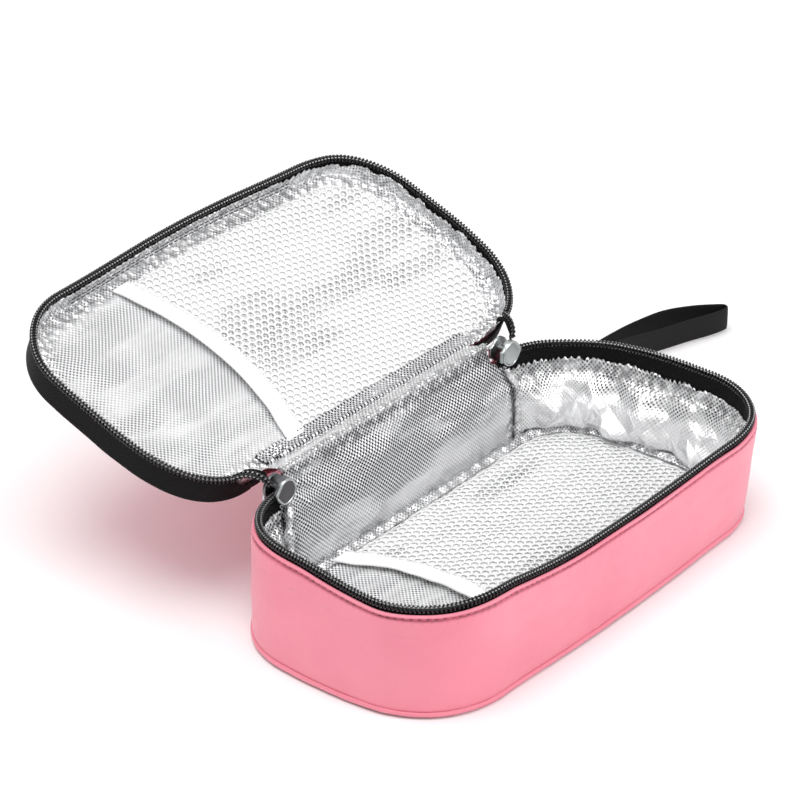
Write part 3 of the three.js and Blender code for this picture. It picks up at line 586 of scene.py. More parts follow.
def along_rim(x, y):
    """The distance along the rim of the place nearest to a point inside it."""
    ax, ay = np.abs(x) - corner_x, np.abs(y) - corner_y
    left_end, front = arc_length + 2 * corner_y, 2 * arc_length + 2 * corner_y
    right_end = 3 * arc_length + 2 * corner_y + 2 * corner_x
    quarter_count = np.where(x < 0, np.where(y > 0, 0, 1), np.where(y > 0, 3, 2))
    corner_start = np.array([0, left_end, front + 2 * corner_x, right_end + 2 * corner_y])
    first_angle = np.array([0.5, 1.0, 1.5, 0.0]) * math.pi
    angle = np.mod(np.arctan2(y - np.sign(y) * corner_y, x - np.sign(x) * corner_x), 2 * np.pi)
    turned = angle - first_angle[quarter_count]
    in_corner = corner_start[quarter_count] + corner_radius * turned
    at_end = np.where(x < 0, arc_length + corner_y - y, right_end + y + corner_y)
    at_side = np.where(y < 0, front + x + corner_x, zip_length + corner_x - x)
    return np.where((ax > 0) & (ay > 0), in_corner, np.where(ax > 0, at_end, at_side))


def inset_of(x, y):
    """How far inside the rim a point is, in millimetres."""
    ax, ay = np.abs(x) - corner_x, np.abs(y) - corner_y
    corner = corner_radius - np.hypot(np.maximum(ax, 0), np.maximum(ay, 0))
    side = np.minimum(half_length - np.abs(x), half_width - np.abs(y))
    return np.where((ax > 0) & (ay > 0), corner, side)


print("front left corner starts", round(float(along_rim(-99.9, -corner_y))), "mm along the rim")

# %% [markdown]
# ## Slump and bulge
# A sewn case is never as straight as its pattern. Two short tables hold how far the walls of this
# one stand off the plain outline, read along the rim, and every layer is moved by them, so that
# fabric, zip and lining stay together.

# %% The base's slump, the lid's bulge and its turn
# In millimetres: the distance along the rim, outwards at the foot, outwards at the zip, and
# upwards at the zip.
base_slump = np.array([
    (0, 0, 0, 0), (25, 0.3, -0.9, 0.6), (45, 3.0, -1.9, 1.5), (62, 4.6, -0.6, 1.0),
    (79, 4.6, 1.4, 0.1), (92, 3.4, 2.1, -0.2), (105, 1.6, 1.4, 0.4), (118, 0.5, 0.8, 0.8),
    (130, -0.8, 0.2, 2.0),
    (145, -1.4, -0.6, 1.7), (158, -1.1, 0.2, -0.2), (170, -0.3, 0.6, -1.8), (190, 0.5, 0.9, -3.4),
    (216, 0.7, 1.1, -3.6), (243, 0.3, 1.2, -3.2), (268, -0.8, 1.2, -2.4), (285, -1.0, 1.8, -1.6),
    (297, 0.2, 3.6, -0.7), (310, 0.5, 3.7, 0.2), (322, 0.8, 3.4, 0.9), (346, 0.8, 3.6, 0.9),
    (361, 0.6, 2.8, 0.4), (375, 0.4, 1.0, -0.9), (392, 0.2, -0.5, -1.5), (410, 0, -0.2, -0.2),
    (zip_length, 0, 0, 0), (whole_length, 0, 0, 0),
])
# The same for the open lid: outwards, and towards the cavity.
lid_slump = np.array([
    (0, 0, 0), (14, 1.8, 0), (24, 2.0, 0), (34, 1.0, 0), (46, 0.4, 0), (60, 2.0, 0), (90, 2.2, 0),
    (103, 1.6, 0), (118, 0.3, 0), (141, 0, 0), (160, 0.7, 0), (197, 2.8, 0), (218, 3.2, 0),
    (240, 2.7, 0), (265, 1.3, 0), (284, 0.6, 0), (299, 1.9, 1.7), (322, 2.2, 1.7), (355, 2.7, 2.2),
    (368, 2.0, 1.8), (380, 1.4, 0.8), (398, 1.3, 0), (410, 1.6, 0), (zip_length, 0, 0),
    (whole_length, 0, 0),
])


def eased(distance, table, column):
    """A column of a slump table at distances along the rim, with its corners rounded."""
    return np.mean([np.interp(distance + shift, table[:, 0], table[:, column])
                    for shift in (-6, -3, 0, 3, 6)], 0)


def moved_out(p, out, lift):
    """Moves points outwards and up by amounts that fade towards the middle of the case."""
    x, y = p[..., 0], p[..., 1]
    s = along_rim(x, y)
    fade = 1 - smooth(inset_of(x, y), 3, 34)
    place = rim(s)
    return np.stack([x - place[..., 2] * out(s) * fade, y - place[..., 3] * out(s) * fade,
                     p[..., 2] + lift(s) * fade], -1)


def settle(points):
    """The base's soft slump."""
    p = np.array(points, float)
    up = np.clip(p[..., 2] / zip_height, 0, 1.1)
    return moved_out(p, lambda s: eased(s, base_slump, 1) * (1 - up) + eased(s, base_slump, 2) * up,
                     lambda s: eased(s, base_slump, 3) * up ** 2)


def soften_lid(points):
    """The closed lid's soft bulge, before it is turned open."""
    p = np.array(points, float)
    return moved_out(p, lambda s: eased(s, lid_slump, 1), lambda s: -eased(s, lid_slump, 2))


def turn_lid(points, angle):
    """Turns points of the closed lid, with its bulge, about the hinge line."""
    p = soften_lid(points)
    y, z = p[..., 1] - hinge_y, p[..., 2] - hinge_z
    p[..., 1] = hinge_y + y * np.cos(angle) - z * np.sin(angle)
    p[..., 2] = hinge_z + y * np.sin(angle) + z * np.cos(angle)
    return p


def open_lid(points):
    """The photograph's open lid."""
    return turn_lid(points, -lid_open_angle)


print("the front edge sinks by up to", -base_slump[:, 3].min(), "mm")

# %% [markdown]
# ## Pink base shell
# The side of the base is one strip of fabric. Its top edge is folded to a hem under the zip, and
# the line of stitches that holds it pulls the cloth in to a narrow puckered groove just below
# the teeth. Its foot meets the piping, and between them it bellies a little. A grid with
# one row for each turn of that profile follows it, and shallow random folds keep it from looking
# like sheet metal. The strip also turns in over its top edge, so that no raw edge shows.

# %% Base side fabric
hem_top, hem_foot, wall_foot = 41.3, 33.6, 2.45
hem_seam = 39.9


def side_profile():
    """Inset and height of the shell from its foot, up the outside, over the hem and down."""
    rows = [(0.6, wall_foot), (-0.05, wall_foot + 0.4)]
    for t in np.linspace(0.03, 1, 22):
        belly = 0.9 * math.sin(math.pi * min(t * 1.02, 1)) ** 0.8 * (1 - t) + 0.75 * t
        rows.append((-belly, wall_foot + 0.5 + t * (hem_foot - wall_foot - 0.7)))
    for z in np.linspace(hem_foot, hem_top - 0.5, 26):
        groove = 1.15 * math.exp(-((z - hem_seam) / 0.55) ** 2)
        rows.append((-0.85 + groove, z))
    rows += [(-0.6, hem_top - 0.1), (-0.1, hem_top + 0.2), (0.5, hem_top + 0.15),
             (0.9, hem_top - 0.4), (1.05, hem_top - 3), (1.05, hem_top - 12)]
    return np.array(rows)


def shell_points(distance, profile):
    """The shell's grid: shallow folds on the wall, puckers at the seam, waves in the hem."""
    s, inset, height = rim_grid(distance, profile)
    spot = np.stack([np.broadcast_to(s, inset.shape), height * 2.2], -1)
    free = smooth(height, 4, 10) * (1 - smooth(height, 30, 35))
    folds = 0.55 * field(spot, 34, 3) + 0.22 * field(spot, 11, 4)
    uneven = 0.6 + 0.4 * field(s[..., None], 6.5, 7)
    at_seam = np.exp(-((height - hem_seam + 0.6) / 1.1) ** 2)
    pucker = 0.3 * uneven * np.sin(2 * np.pi * s / 2.9) * at_seam
    hem_wave = 0.25 * field(spot, 9, 5) * smooth(height, hem_seam, hem_top)
    outward = np.arange(len(profile)) < len(profile) - 4
    inset = inset - np.where(outward, folds * free + pucker + hem_wave, 0)
    lift = 0.25 * field(np.stack([s, s * 0], -1), 14, 6) * smooth(height, 39, 41)
    return settle(on_rim(s, inset, height + lift))


side_distance = np.linspace(-1.5, zip_length + 1.5, 560)
profile = side_profile()
base_side = cloth("base_side_fabric", shell_points(side_distance, profile),
                  pairs_of(side_distance, run_lengths(profile)), pink)
# The seam number paints shade into the hem's groove, uneven along the rim.
in_groove = 0.95 * np.exp(-((profile[:, 1] - hem_seam) / 0.6) ** 2)
groove_shade = in_groove * (0.75 + 0.25 * field(side_distance[:, None], 4, 8))[:, None]
paint(base_side, "seam", lambda p: groove_shade.ravel())
finish_piece(base_side, "base", "pink_fabric", "base_side_shell")
print("side fabric faces:", len(base_side.data.polygons))

# %% [markdown]
# ## Cords and flat sheets
# Two more grids serve most of the case. A tube is a ring of points carried along a line, without
# a twist: a guide direction is kept square to the line at each step. A disc is a sheet inside the
# rim, whose rings shrink from the edge to a spine along its middle.

# %% Tubes and sheets inside the rim
def tube(name, path, radius, material, sides=12, closed=False, flat=1.0):
    """A cord through points in millimetres. Its radius may change along it; flat squashes it."""
    path = np.asarray(path, float)
    radius = np.broadcast_to(radius, len(path))
    ahead = np.roll(path, -1, 0) - np.roll(path, 1, 0)
    if not closed:
        ahead[0], ahead[-1] = path[1] - path[0], path[-1] - path[-2]
    ahead /= np.linalg.norm(ahead, axis=1)[:, None]
    guide = np.array([1.0, 0.0, 0.0] if abs(ahead[0, 2]) > 0.9 else [0.0, 0.0, 1.0])
    side = []
    for direction in ahead:
        guide = guide - direction * (guide @ direction)
        guide /= np.linalg.norm(guide)
        side.append(guide)
    side = np.array(side)
    other = np.cross(ahead, side)
    turn = np.linspace(0, 2 * np.pi, sides, endpoint=False)
    ring = side[:, None] * np.cos(turn)[:, None] + other[:, None] * np.sin(turn)[:, None] * flat
    points = path[:, None] + ring * radius[:, None, None]
    uv = pairs_of(run_lengths(path), turn * float(radius.mean()))
    if not closed:
        points, uv = capped(points, path[0], path[-1]), np.concatenate([uv[:1], uv, uv[-1:]])
    piece = cloth(name, points, uv, material, loop_u=closed, loop_v=True, flip=True)
    return weld(piece)


def capped(points, first, last):
    """Closes both ends of a grid with a row of points that all lie in one place."""
    return np.concatenate([first + 0 * points[:1], points, last + 0 * points[:1]])


def weld(piece):
    """Merges points that share a place, so that round ends close without loose edges."""
    work = bmesh.new()
    work.from_mesh(piece.data)
    bmesh.ops.remove_doubles(work, verts=work.verts, dist=1e-6)
    work.to_mesh(piece.data)
    work.free()
    return piece


def disc(name, inset, height, material, rings=36, around=420, flip=False, hem=None):
    """A sheet inside the rim. height gives the height in millimetres at x and y. hem adds rows
    of points outside it, made by a function of the distances along the rim. The grid starts in
    the middle of an end, so that its front and back halves meet point to point."""
    start = arc_length + corner_y
    s = np.mod(start + np.linspace(0, whole_length, around, endpoint=False), whole_length)
    edge = on_rim(s, inset, 0.0)[:, :2]
    spine = np.stack([np.clip(edge[:, 0], -corner_x, corner_x), 0 * s], -1)
    share = np.linspace(0, 1, rings)[:, None] ** 0.9
    xy = edge[:, None] * (1 - share) + spine[:, None] * share
    z = height(xy[..., 0], xy[..., 1])
    points = np.concatenate([xy, z[..., None]], -1)
    if hem is not None:
        rows = hem(s[:, None])
        points = np.concatenate([rows, points], 1)
        outwards = np.linspace(rows.shape[1], 1, rows.shape[1])[:, None] * 0.9
        away = edge[:, None] - rim(s)[:, None, 2:] * outwards
        xy = np.concatenate([away, xy], 1)
    return weld(cloth(name, points, xy, material, loop_u=True, flip=flip))


def level(height):
    """A flat sheet's height, for every place on it."""
    return lambda x, y: height + 0 * x


def thicken(piece, thickness, offset=-1.0):
    """Gives a sheet its thickness in millimetres with a modifier, and makes that a plain mesh."""
    skin = piece.modifiers.new("thickness", "SOLIDIFY")
    skin.thickness, skin.offset, skin.use_even_offset = thickness * MM, offset, False
    return apply_modifiers(piece)


def apply_modifiers(piece):
    """Makes what a piece's modifiers do part of its mesh."""
    bpy.context.view_layer.update()
    evaluated = piece.evaluated_get(bpy.context.evaluated_depsgraph_get())
    mesh = bpy.data.meshes.new_from_object(evaluated)
    old = piece.data
    piece.modifiers.clear()
    piece.data = mesh
    bpy.data.meshes.remove(old)
    mesh.name = piece.name
    mesh.polygons.foreach_set("use_smooth", np.ones(len(mesh.polygons), bool))
    return piece


print("the spine of a sheet is", round(2 * corner_x), "mm long")

# %% [markdown]
# ## Piping and underside
# The foot of the shell is sewn round a cord, which makes a round self-coloured bead. A tube
# along the rim gives it, and a fine waver in its radius gives the look of cloth pulled over a
# cord. The underside is one flat sheet inside that bead.

# %% Piping and underside
around = np.linspace(0, whole_length, 700, endpoint=False)
piping_path = settle(on_rim(around, 0.45, 1.5 + 0.1 * field(around[:, None], 9, 11)))
piping = tube("base_foot_piping", piping_path, 1.08 + 0.06 * field(around[:, None], 3, 12), pink,
              closed=True)
finish_piece(piping, "base", "pink_fabric", "base_piping")
underside = disc("base_underside", 1.35, level(0.95), pink, rings=16, around=240)
thicken(underside, 0.95)
finish_piece(underside, "base", "pink_fabric", "base_bottom_panel")
print("piping faces:", len(piping.data.polygons), "underside:", len(underside.data.polygons))

# %% [markdown]
# ## Foam between the layers
# White closed-cell foam fills the wall, the back, the floor and the lid. Hardly any of it shows,
# but a padded case is as thick as its foam, so each pad is here with its real thickness.

# %% Foam pads
def sweep(name, profile, distance, material, waver=None):
    """A closed profile of insets and heights along the rim, with closed ends."""
    profile = np.array(profile, float)
    s, inset, height = rim_grid(distance, profile)
    if waver is not None:
        inset, height = waver(s, inset, height)
    points = settle(on_rim(s, inset, height))
    middle = points.mean(1, keepdims=True)
    uv = pairs_of(distance, run_lengths(profile))
    piece = cloth(name, capped(points, middle[:1], middle[-1:]),
                  np.concatenate([uv[:1], uv, uv[-1:]]), material, loop_v=True)
    return weld(piece)


def slab(name, low, high, material):
    """A plain pad between two corners in millimetres, with rounded edges."""
    low, high = Vector(low) * MM, Vector(high) * MM
    work = bmesh.new()
    bmesh.ops.create_cube(work, size=1, matrix=Matrix.Translation((low + high) / 2)
                          @ Matrix.Diagonal((*(high - low), 1)))
    mesh = bpy.data.meshes.new(name)
    work.to_mesh(mesh)
    work.free()
    piece = show(name, mesh, material)
    edge = piece.modifiers.new("round edges", "BEVEL")
    edge.width, edge.segments = 0.6 * MM, 2
    return apply_modifiers(piece)


pad_profile = [(1.35, 3.6), (5.3, 3.6), (5.3, 15), (5.3, 27.2), (4.9, 27.6), (2.9, 27.6),
               (2.5, 27.2), (1.35, 22), (1.35, 12)]
side_pad = sweep("base_side_pad", pad_profile, np.linspace(0, zip_length, 300), white_foam)
floor_pad = thicken(disc("base_floor_pad", 5.6, level(5.3), white_foam, 12, 200), 4.0)
back_pad = slab("base_back_pad", (-66.7, 47.7, 3.4), (66.7, 51.7, 27.5), white_foam)
for piece, node in ((side_pad, "base_side_foam"), (floor_pad, "base_floor_foam"),
                    (back_pad, "base_back_foam")):
    finish_piece(piece, "base", "foam", node)
print("foam pads made")

# %% [markdown]
# ## Creased film
# Film does not stretch, so it takes its slack in creases: flat facets with sharp folds between
# them. Triangle waves at chance angles, added up, give such facets, and a wave along a seam gives
# its pleats. The floor is one panel, calm in its middle and crumpled towards its bound edge. It
# is made first, because the net and the pocket's band lie on it.

# %% Creases, pleats and the floor lining
def creases(points, scale, seed, count=5):
    """Flat facets with sharp folds between them, from about -1 to 1: triangle waves at chance
    angles, added up."""
    chance = np.random.default_rng(seed)
    points = np.asarray(points, float)
    total = np.zeros(points.shape[:-1])
    for k in range(count):
        angle = math.pi * (k + chance.uniform(0.1, 0.9)) / count
        length = scale * chance.uniform(0.7, 1.7)
        run = points[..., 0] * math.cos(angle) + points[..., 1] * math.sin(angle)
        bend = 0.55 * field(points, scale * 1.6, seed + 7 * k)
        phase = run / length + chance.uniform() + bend
        total += (4 * np.abs(phase - np.floor(phase) - 0.5) - 1) * length / scale
    return total / (1.1 * math.sqrt(count))


def pleats(distance, pitch, seed):
    """Uneven sharp pleats along a line, from -1 to 1."""
    d = np.asarray(distance, float)
    phase = d / pitch + 0.9 * field(d[..., None], pitch * 2.5, seed)
    size = 0.55 + 0.45 * field(d[..., None], pitch * 3.7, seed + 1)
    return (4 * np.abs(phase - np.floor(phase) - 0.5) - 1) * size


def floor_height(x, y):
    """The top of the floor lining."""
    spot = np.stack([x, y], -1)
    corner = np.hypot(np.maximum(np.abs(x) - corner_x, 0), np.maximum(np.abs(y) - corner_y, 0))
    edge = np.maximum(corner - (corner_radius - 14), 0) / 8
    calm = 6.2 + 0.5 * field(spot, 33, 21) + 0.3 * creases(spot, 13, 22)
    return calm + 0.5 * edge ** 2 * (0.6 + 0.4 * field(spot, 3.5, 23))


def mouth_line(low, bow, half):
    """A bowed pocket mouth: where it is along the case for a place across it."""
    return lambda y: low + bow * (1 - (y / half) ** 2)


def under_net(p, mouth, seed):
    """1 where the net covers the film, and 0 in streaks where the film lies in folds: painted light
    under the net, painted shade in the folds.
    """
    x, y = p[:, 0], p[:, 1]
    covered = smooth(x - mouth(y), 8, 10) * smooth(inset_of(x, y), 8, 10)
    folds = smooth(field(np.stack([x * 0.2, y], -1), 8, seed), 0.2, 0.55)
    return covered * (1 - 0.8 * folds)


base_mouth = mouth_line(-46.0, 12.0, 44.0)
lid_mouth = mouth_line(-41.0, 10.0, 45.4)
floor_lining = thicken(disc("base_floor_film", 5.7, floor_height, film_lining, 56, 620), 0.5)
paint(floor_lining, "gather", lambda p: 1 - smooth(inset_of(p[:, 0], p[:, 1]), 10, 14))
paint(floor_lining, "veiled", lambda p: under_net(p, base_mouth, 33))
finish_piece(floor_lining, "base", "foil_lining", "base_floor_lining")
print("floor film faces:", len(floor_lining.data.polygons))

# %% [markdown]
# ## Side lining
# One strip of film runs round the ends and the front. At its foot it puffs out over the floor's
# bound seam, most of all in the right end, where it hangs free in large facets. Where it is sewn
# to the tape at its top, its slack is gathered to small folds, and the cut edge is ragged.

# %% Side lining
lining_profile = np.array(
    [(6.2, 6.6), (6.1, 7.6), (5.9, 8.6)] + [(6.0, z) for z in np.linspace(9.6, 26.5, 18)]
    + [(5.7, 27.6), (5.1, 28.6), (4.4, 29.6), (3.7, 30.5), (3.2, 31.3), (2.95, 32.1), (2.85, 32.9),
       (2.8, 33.7), (2.75, 34.5), (2.7, 35.3)]
)


def side_lining_points(distance):
    """The side lining's grid, with its folds below and its gathers above."""
    s, inset, height = rim_grid(distance, lining_profile)
    along = s + 0 * inset
    x = rim(along)[..., 0]
    ends, right = smooth(np.abs(x), 60, 92), smooth(x, 50, 88)
    spot = np.stack([along, height], -1)
    free = smooth(height, 7.6, 10) * (1 - smooth(height, 27, 31))
    calm_ends = smooth(np.minimum(along, zip_length - along), 0, 14)
    folds = (0.6 + 1.2 * ends + 1.5 * right) * creases(spot * (1, 0.5), 19, 31, 3)
    folds = folds + 0.3 * creases(spot, 7, 32)
    low_down = smooth(height, 7.4, 9.6) * (1 - smooth(height, 12, 29))
    puffed = (0.7 + 2.0 * ends + 3.4 * right) * low_down
    gather = smooth(height, 23, 31) * (1 - 0.3 * smooth(height, 33.5, 35))
    frills = 0.42 * pleats(along + 0.25 * height, 3.1, 33) * gather
    tips = 0.5 + pleats(along, 2.6, 35) + 0.9 * field(along[..., None], 5.0, 34)
    ragged = tips * smooth(height, 33.3, 35.3)
    inset = inset + np.maximum(folds + puffed, -0.25) * free * calm_ends + frills
    return settle(on_rim(s, inset, height + ragged))


lining_steps = np.linspace(-1.5, zip_length + 1.5, 900)
side_lining = cloth("base_side_film", side_lining_points(lining_steps),
                    pairs_of(lining_steps, run_lengths(lining_profile)), film_lining, flip=True)
thicken(side_lining, film_thick)
paint(side_lining, "gather", lambda p: np.maximum(
    smooth(p[:, 2], 27.5, 31), 1 - smooth(p[:, 2], 8.5, 11)))
# In the right end the film hangs free, and its faded dots paint the light there.
paint(side_lining, "plain", lambda p: smooth(p[:, 0], 60, 80) * (1 - smooth(p[:, 2], 19, 27)))
finish_piece(side_lining, "base", "foil_lining", "base_side_lining")
print("side film faces:", len(side_lining.data.polygons))

# %% [markdown]
# ## Back panels
# The back lining hangs from the hinge seam and is sewn at its foot and both sides. The weight of
# the open lid pulls on its upper corners, so long folds fan out from the left slider and cross
# the panel. They are drawn as waves of the angle round that corner, fading with distance. The
# pink panel behind it runs up into the same seam. Each panel is a smooth curve through a few
# knots of depth and height, repeated across the width.

# %% Panels of the back
def curve_through(knots, count):
    """Evenly spaced points on a smooth curve through knots, and its length."""
    knots = np.array(knots, float)
    ends = np.concatenate([[2 * knots[0] - knots[1]], knots, [2 * knots[-1] - knots[-2]]])
    t = np.linspace(0, 1, 40, endpoint=False)[:, None]
    fine = []
    for k in range(len(knots) - 1):
        p0, p1, p2, p3 = ends[k:k + 4]
        fine.append(0.5 * (2 * p1 + (p2 - p0) * t + (2 * p0 - 5 * p1 + 4 * p2 - p3) * t ** 2
                           + (3 * p1 - p0 - 3 * p2 + p3) * t ** 3))
    fine = np.concatenate(fine + [knots[-1:]])
    step = run_lengths(fine)
    at = np.linspace(0, step[-1], count)
    return np.stack([np.interp(at, step, column) for column in fine.T], -1), step[-1]


across_share = np.linspace(-1, 1, 220)[:, None]
print("back panels have", len(across_share), "points across")


def panel_grid(knots, count):
    """x, y and z of a back panel before its folds, and the curve's length. The panels narrow
    beside the sliders."""
    curve, rise = curve_through(knots, count)
    x = across_share * (66.5 - 7.4 * smooth(curve[:, 1], 38.6, 41.6))
    return x, curve[:, 0] + 0 * x, curve[:, 1] + 0 * x, rise


# %% [markdown]
# ## Back lining
# The dots stand out most in the upper left of this panel, where the film is drawn tight on its
# scrim. Lower down it hangs loose, and its dots fade to a painted reflection of the bright floor.

# %% Back lining
x, y, z, back_rise = panel_grid(
    [(47.1, 6.6), (47.0, 17), (47.2, 26.5), (49.0, 33), (52.2, 40), (55.7, 47.3)], 64)
spot = np.stack([x, z * 1.3], -1)
corner_angle, corner_away = np.arctan2(z - 50, x + 74), np.hypot(z - 50, x + 74)
fan = np.sin(corner_angle * 26 + 1.4 * field(spot, 25, 41)) * np.exp(-corner_away / 55)
loose = smooth(z, 7, 14) * (1 - smooth(z, 42, 46.5)) * (1 - np.abs(across_share) ** 14)
streaks = 0.16 * field(np.stack([x * 0.2, z], -1), 1.8, 43)
folds = loose * (0.9 * fan + 0.75 * creases(spot * (0.5, 1), 16, 42) + streaks)
back_lining = cloth("base_back_film", np.stack([x, y - np.maximum(folds, -0.45), z], -1),
                    np.stack([x, np.linspace(0, back_rise, 64) + 0 * x], -1), film_back)
thicken(back_lining, film_thick, 1.0)
paint(back_lining, "gather", lambda p: np.maximum(
    np.maximum(smooth(p[:, 2], 42.5, 45), smooth(np.abs(p[:, 0]), 60, 65)),
    smooth(-p[:, 0], 40, 60) * smooth(p[:, 2], 38, 43)))
paint(back_lining, "plain", lambda p: smooth(p[:, 0] * 0.15 - p[:, 2], -32, -11))
finish_piece(back_lining, "base", "foil_lining", "base_back_lining")
print("back lining is", round(back_rise, 1), "mm tall")

# %% [markdown]
# ## Back fabric
# The pink panel is the back of the case. It bellies a little between its two corner seams, and
# its top tucks under the hinge seam, so that no gap shows there when the lid is shut.

# %% Back fabric
x, y, z, fabric_rise = panel_grid(
    [(52.5, 3.2), (52.9, 12), (52.8, 24), (53.2, 32), (55.0, 39.5), (56.45, 44.4), (57.15, 46.3)],
    48)
folds = 0.35 * field(np.stack([x, z], -1), 19, 44) * smooth(z, 4, 10)
y = y + np.maximum(folds, -0.1) * (1 - smooth(z, 40, 44))
back_shell = cloth("base_back_fabric", np.stack([x, y, z], -1), np.stack([x, z], -1), pink,
                   flip=True)
thicken(back_shell, fabric_thick, 0.0)
finish_piece(back_shell, "base", "pink_fabric", "base_back_shell")
print("back fabric is", round(fabric_rise, 1), "mm tall")

# %% [markdown]
# ## Bound seams
# Where two film panels meet, their raw edges are wrapped in a narrow strip of the same film and
# sewn down. The floor seam runs all round, a short one climbs each back corner, and the one
# along the hinge is the line that the lid turns about. Film crumples as it goes under a needle,
# so each binding gets a lumpy radius.

# %% Seam bindings
def binding_waver(s, inset, height):
    """Lumps that move a binding's profile, most of all its bead."""
    spot = np.stack([s + 0 * inset, inset * 2 + height], -1)
    lumps = 0.34 * field(spot, 2.4, 51) + 0.3 * creases(spot, 6, 52)
    bead = smooth(height, 6.9, 8.2)
    return inset + lumps * 0.6, height + lumps * (0.45 + 0.55 * bead)


floor_binding_profile = [(6.4, 6.5), (9.8, 6.45), (10.6, 6.8), (9.9, 7.25), (9.2, 7.5), (8.7, 8.2),
                         (8.1, 8.7), (7.4, 8.65), (6.9, 8.2), (6.6, 7.9), (6.3, 7.9)]
floor_binding = sweep("base_floor_binding", floor_binding_profile,
                      np.linspace(0, whole_length, 900), film_binding, binding_waver)
finish_piece(floor_binding, "base", "foil_binding", "base_floor_seam_binding")

seam_z = np.linspace(8.6, 38.6, 110)
seam_y = np.interp(seam_z, [8, 26.5, 33.5, 38.6], [45.3, 45.3, 46.6, 48.8])
seam_x = 67.3 + 0.4 * field(seam_z[:, None], 4, 55) - 3.2 * smooth(seam_z, 30, 39)
for side, word in ((-1, "left"), (1, "right")):
    lumps = 0.4 * field(seam_z[:, None], 1.8, 56 + side) + 0.3 * field(seam_z[:, None], 4, 57)
    seam = tube("base_corner_binding_" + word, np.stack([side * seam_x, seam_y, seam_z], -1),
                1.75 + lumps, film_binding, flat=0.85)
    finish_piece(seam, "base", "foil_binding", "base_corner_seam_" + word)

hinge_x = np.linspace(-59.3, 59.3, 400)
hinge_path = np.stack([hinge_x, hinge_y + 0.12 * field(hinge_x[:, None], 8, 58),
                       hinge_z + 0.12 * field(hinge_x[:, None], 7, 59)], -1)
hinge_radius = 1.35 + 0.14 * field(hinge_x[:, None], 1.7, 60)
hinge_cord = tube("hinge_seam_cord", hinge_path, hinge_radius, film_binding)
finish_piece(hinge_cord, "base", "foil_binding", "hinge_seam_binding")
print("floor binding faces:", len(floor_binding.data.polygons))

# %% [markdown]
# ## Zip tape of the base
# The tape is a flat woven band, sewn between the shell's hem and the lining. It stands up inside
# the rim, and its upper edge carries the teeth. A hardly visible wave keeps it from looking like
# a metal rail.

# %% Base tape
def tape_piece(name, low, high, distance, place):
    """A thin band on the rim between two heights, which may be arrays along it."""
    t = np.linspace(0, 1, 12)
    s = distance[:, None]
    low, high = (np.asarray(edge + 0 * distance)[:, None] for edge in (low, high))
    height = low * (1 - t) + high * t
    inset = tape_middle - 0.3 + 0.12 * field(np.stack([s + 0 * height, height * 0.3], -1), 7, 61)
    piece = cloth(name, place(on_rim(s, inset, height)), np.stack([s + 0 * height, height], -1),
                  tape_twill)
    return thicken(piece, tape_thick)


base_tape = tape_piece("base_tape", 29.2, 42.9, np.linspace(-5.5, zip_length + 5.5, 320), settle)
finish_piece(base_tape, "base", "zip_tape", "base_zip_tape")
print("base tape faces:", len(base_tape.data.polygons))

# %% [markdown]
# ## Geometry Nodes: coil teeth from a line
# A coil zip is one nylon filament wound to a flattened helix and sewn to the tape's edge. The
# same node tree makes every chain. It resamples the edge line, moves each point round an ellipse
# as it goes along, and gives the line a round section. Two vectors stored on the line say which
# way is into the case and which way is up, so that the helix turns with the rim. A seam sewn
# along the middle of each chain presses its turns down, and leaves two rows of round bends that
# catch the light.

# %% Node trees
def new_tree(name, sizes):
    """A Geometry Nodes tree with a geometry input and named number inputs, and its input node."""
    tree = bpy.data.node_groups.new(name, "GeometryNodeTree")
    new_socket = tree.interface.new_socket
    new_socket(name="Geometry", in_out="INPUT", socket_type="NodeSocketGeometry")
    for label, value in sizes.items():
        number = new_socket(name=label, in_out="INPUT", socket_type="NodeSocketFloat")
        number.default_value = value
    new_socket(name="Material", in_out="INPUT", socket_type="NodeSocketMaterial")
    new_socket(name="Geometry", in_out="OUTPUT", socket_type="NodeSocketGeometry")
    return tree, add(tree, "NodeGroupInput")


def end_tree(tree, given, geometry):
    """Ends a tree: instances become real, then the material is set."""
    real = add(tree, "GeometryNodeRealizeInstances", {"Geometry": geometry})
    dressed = {"Geometry": real, "Material": given.outputs["Material"]}
    add(tree, "NodeGroupOutput", {"Geometry": add(tree, "GeometryNodeSetMaterial", dressed)})


def run_tree(name, tree, mesh, material, **sizes):
    """A piece made by a tree from a source mesh, kept as a plain mesh."""
    piece = show(name, mesh, material)
    modifier = piece.modifiers.new("maker", "NODES")
    modifier.node_group = tree
    values = {**sizes, "Material": material}
    for item in tree.interface.items_tree:
        if item.in_out == "INPUT" and item.name in values:
            modifier[item.identifier] = values[item.name]
    return apply_modifiers(piece)


print("node trees before the first one:", len(bpy.data.node_groups))

# %% The coil tree
coil_tree, given = new_tree("zip coil", {
    "Pitch": 0.0015,
    "Half Width": 0.0011,
    "Half Height": 0.0013,
    "Wire": 0.00044,
    "Core": 0.00075,
    "Groove": 0.5,
})
size = given.outputs
line = add(coil_tree, "GeometryNodeMeshToCurve", [size["Geometry"]])
step = add(coil_tree, "ShaderNodeMath", [size["Pitch"], 12.0], operation="DIVIDE")
fine = add(coil_tree, "GeometryNodeResampleCurve", {"Curve": line, "Length": step}, mode="LENGTH")
along = add(coil_tree, "GeometryNodeSplineParameter").outputs["Length"]
turns = add(coil_tree, "ShaderNodeMath", [along, size["Pitch"]], operation="DIVIDE")
phase = add(coil_tree, "ShaderNodeMath", [turns, 2 * math.pi], operation="MULTIPLY")
cosine = add(coil_tree, "ShaderNodeMath", [phase], operation="COSINE")
sine = add(coil_tree, "ShaderNodeMath", [phase], operation="SINE")

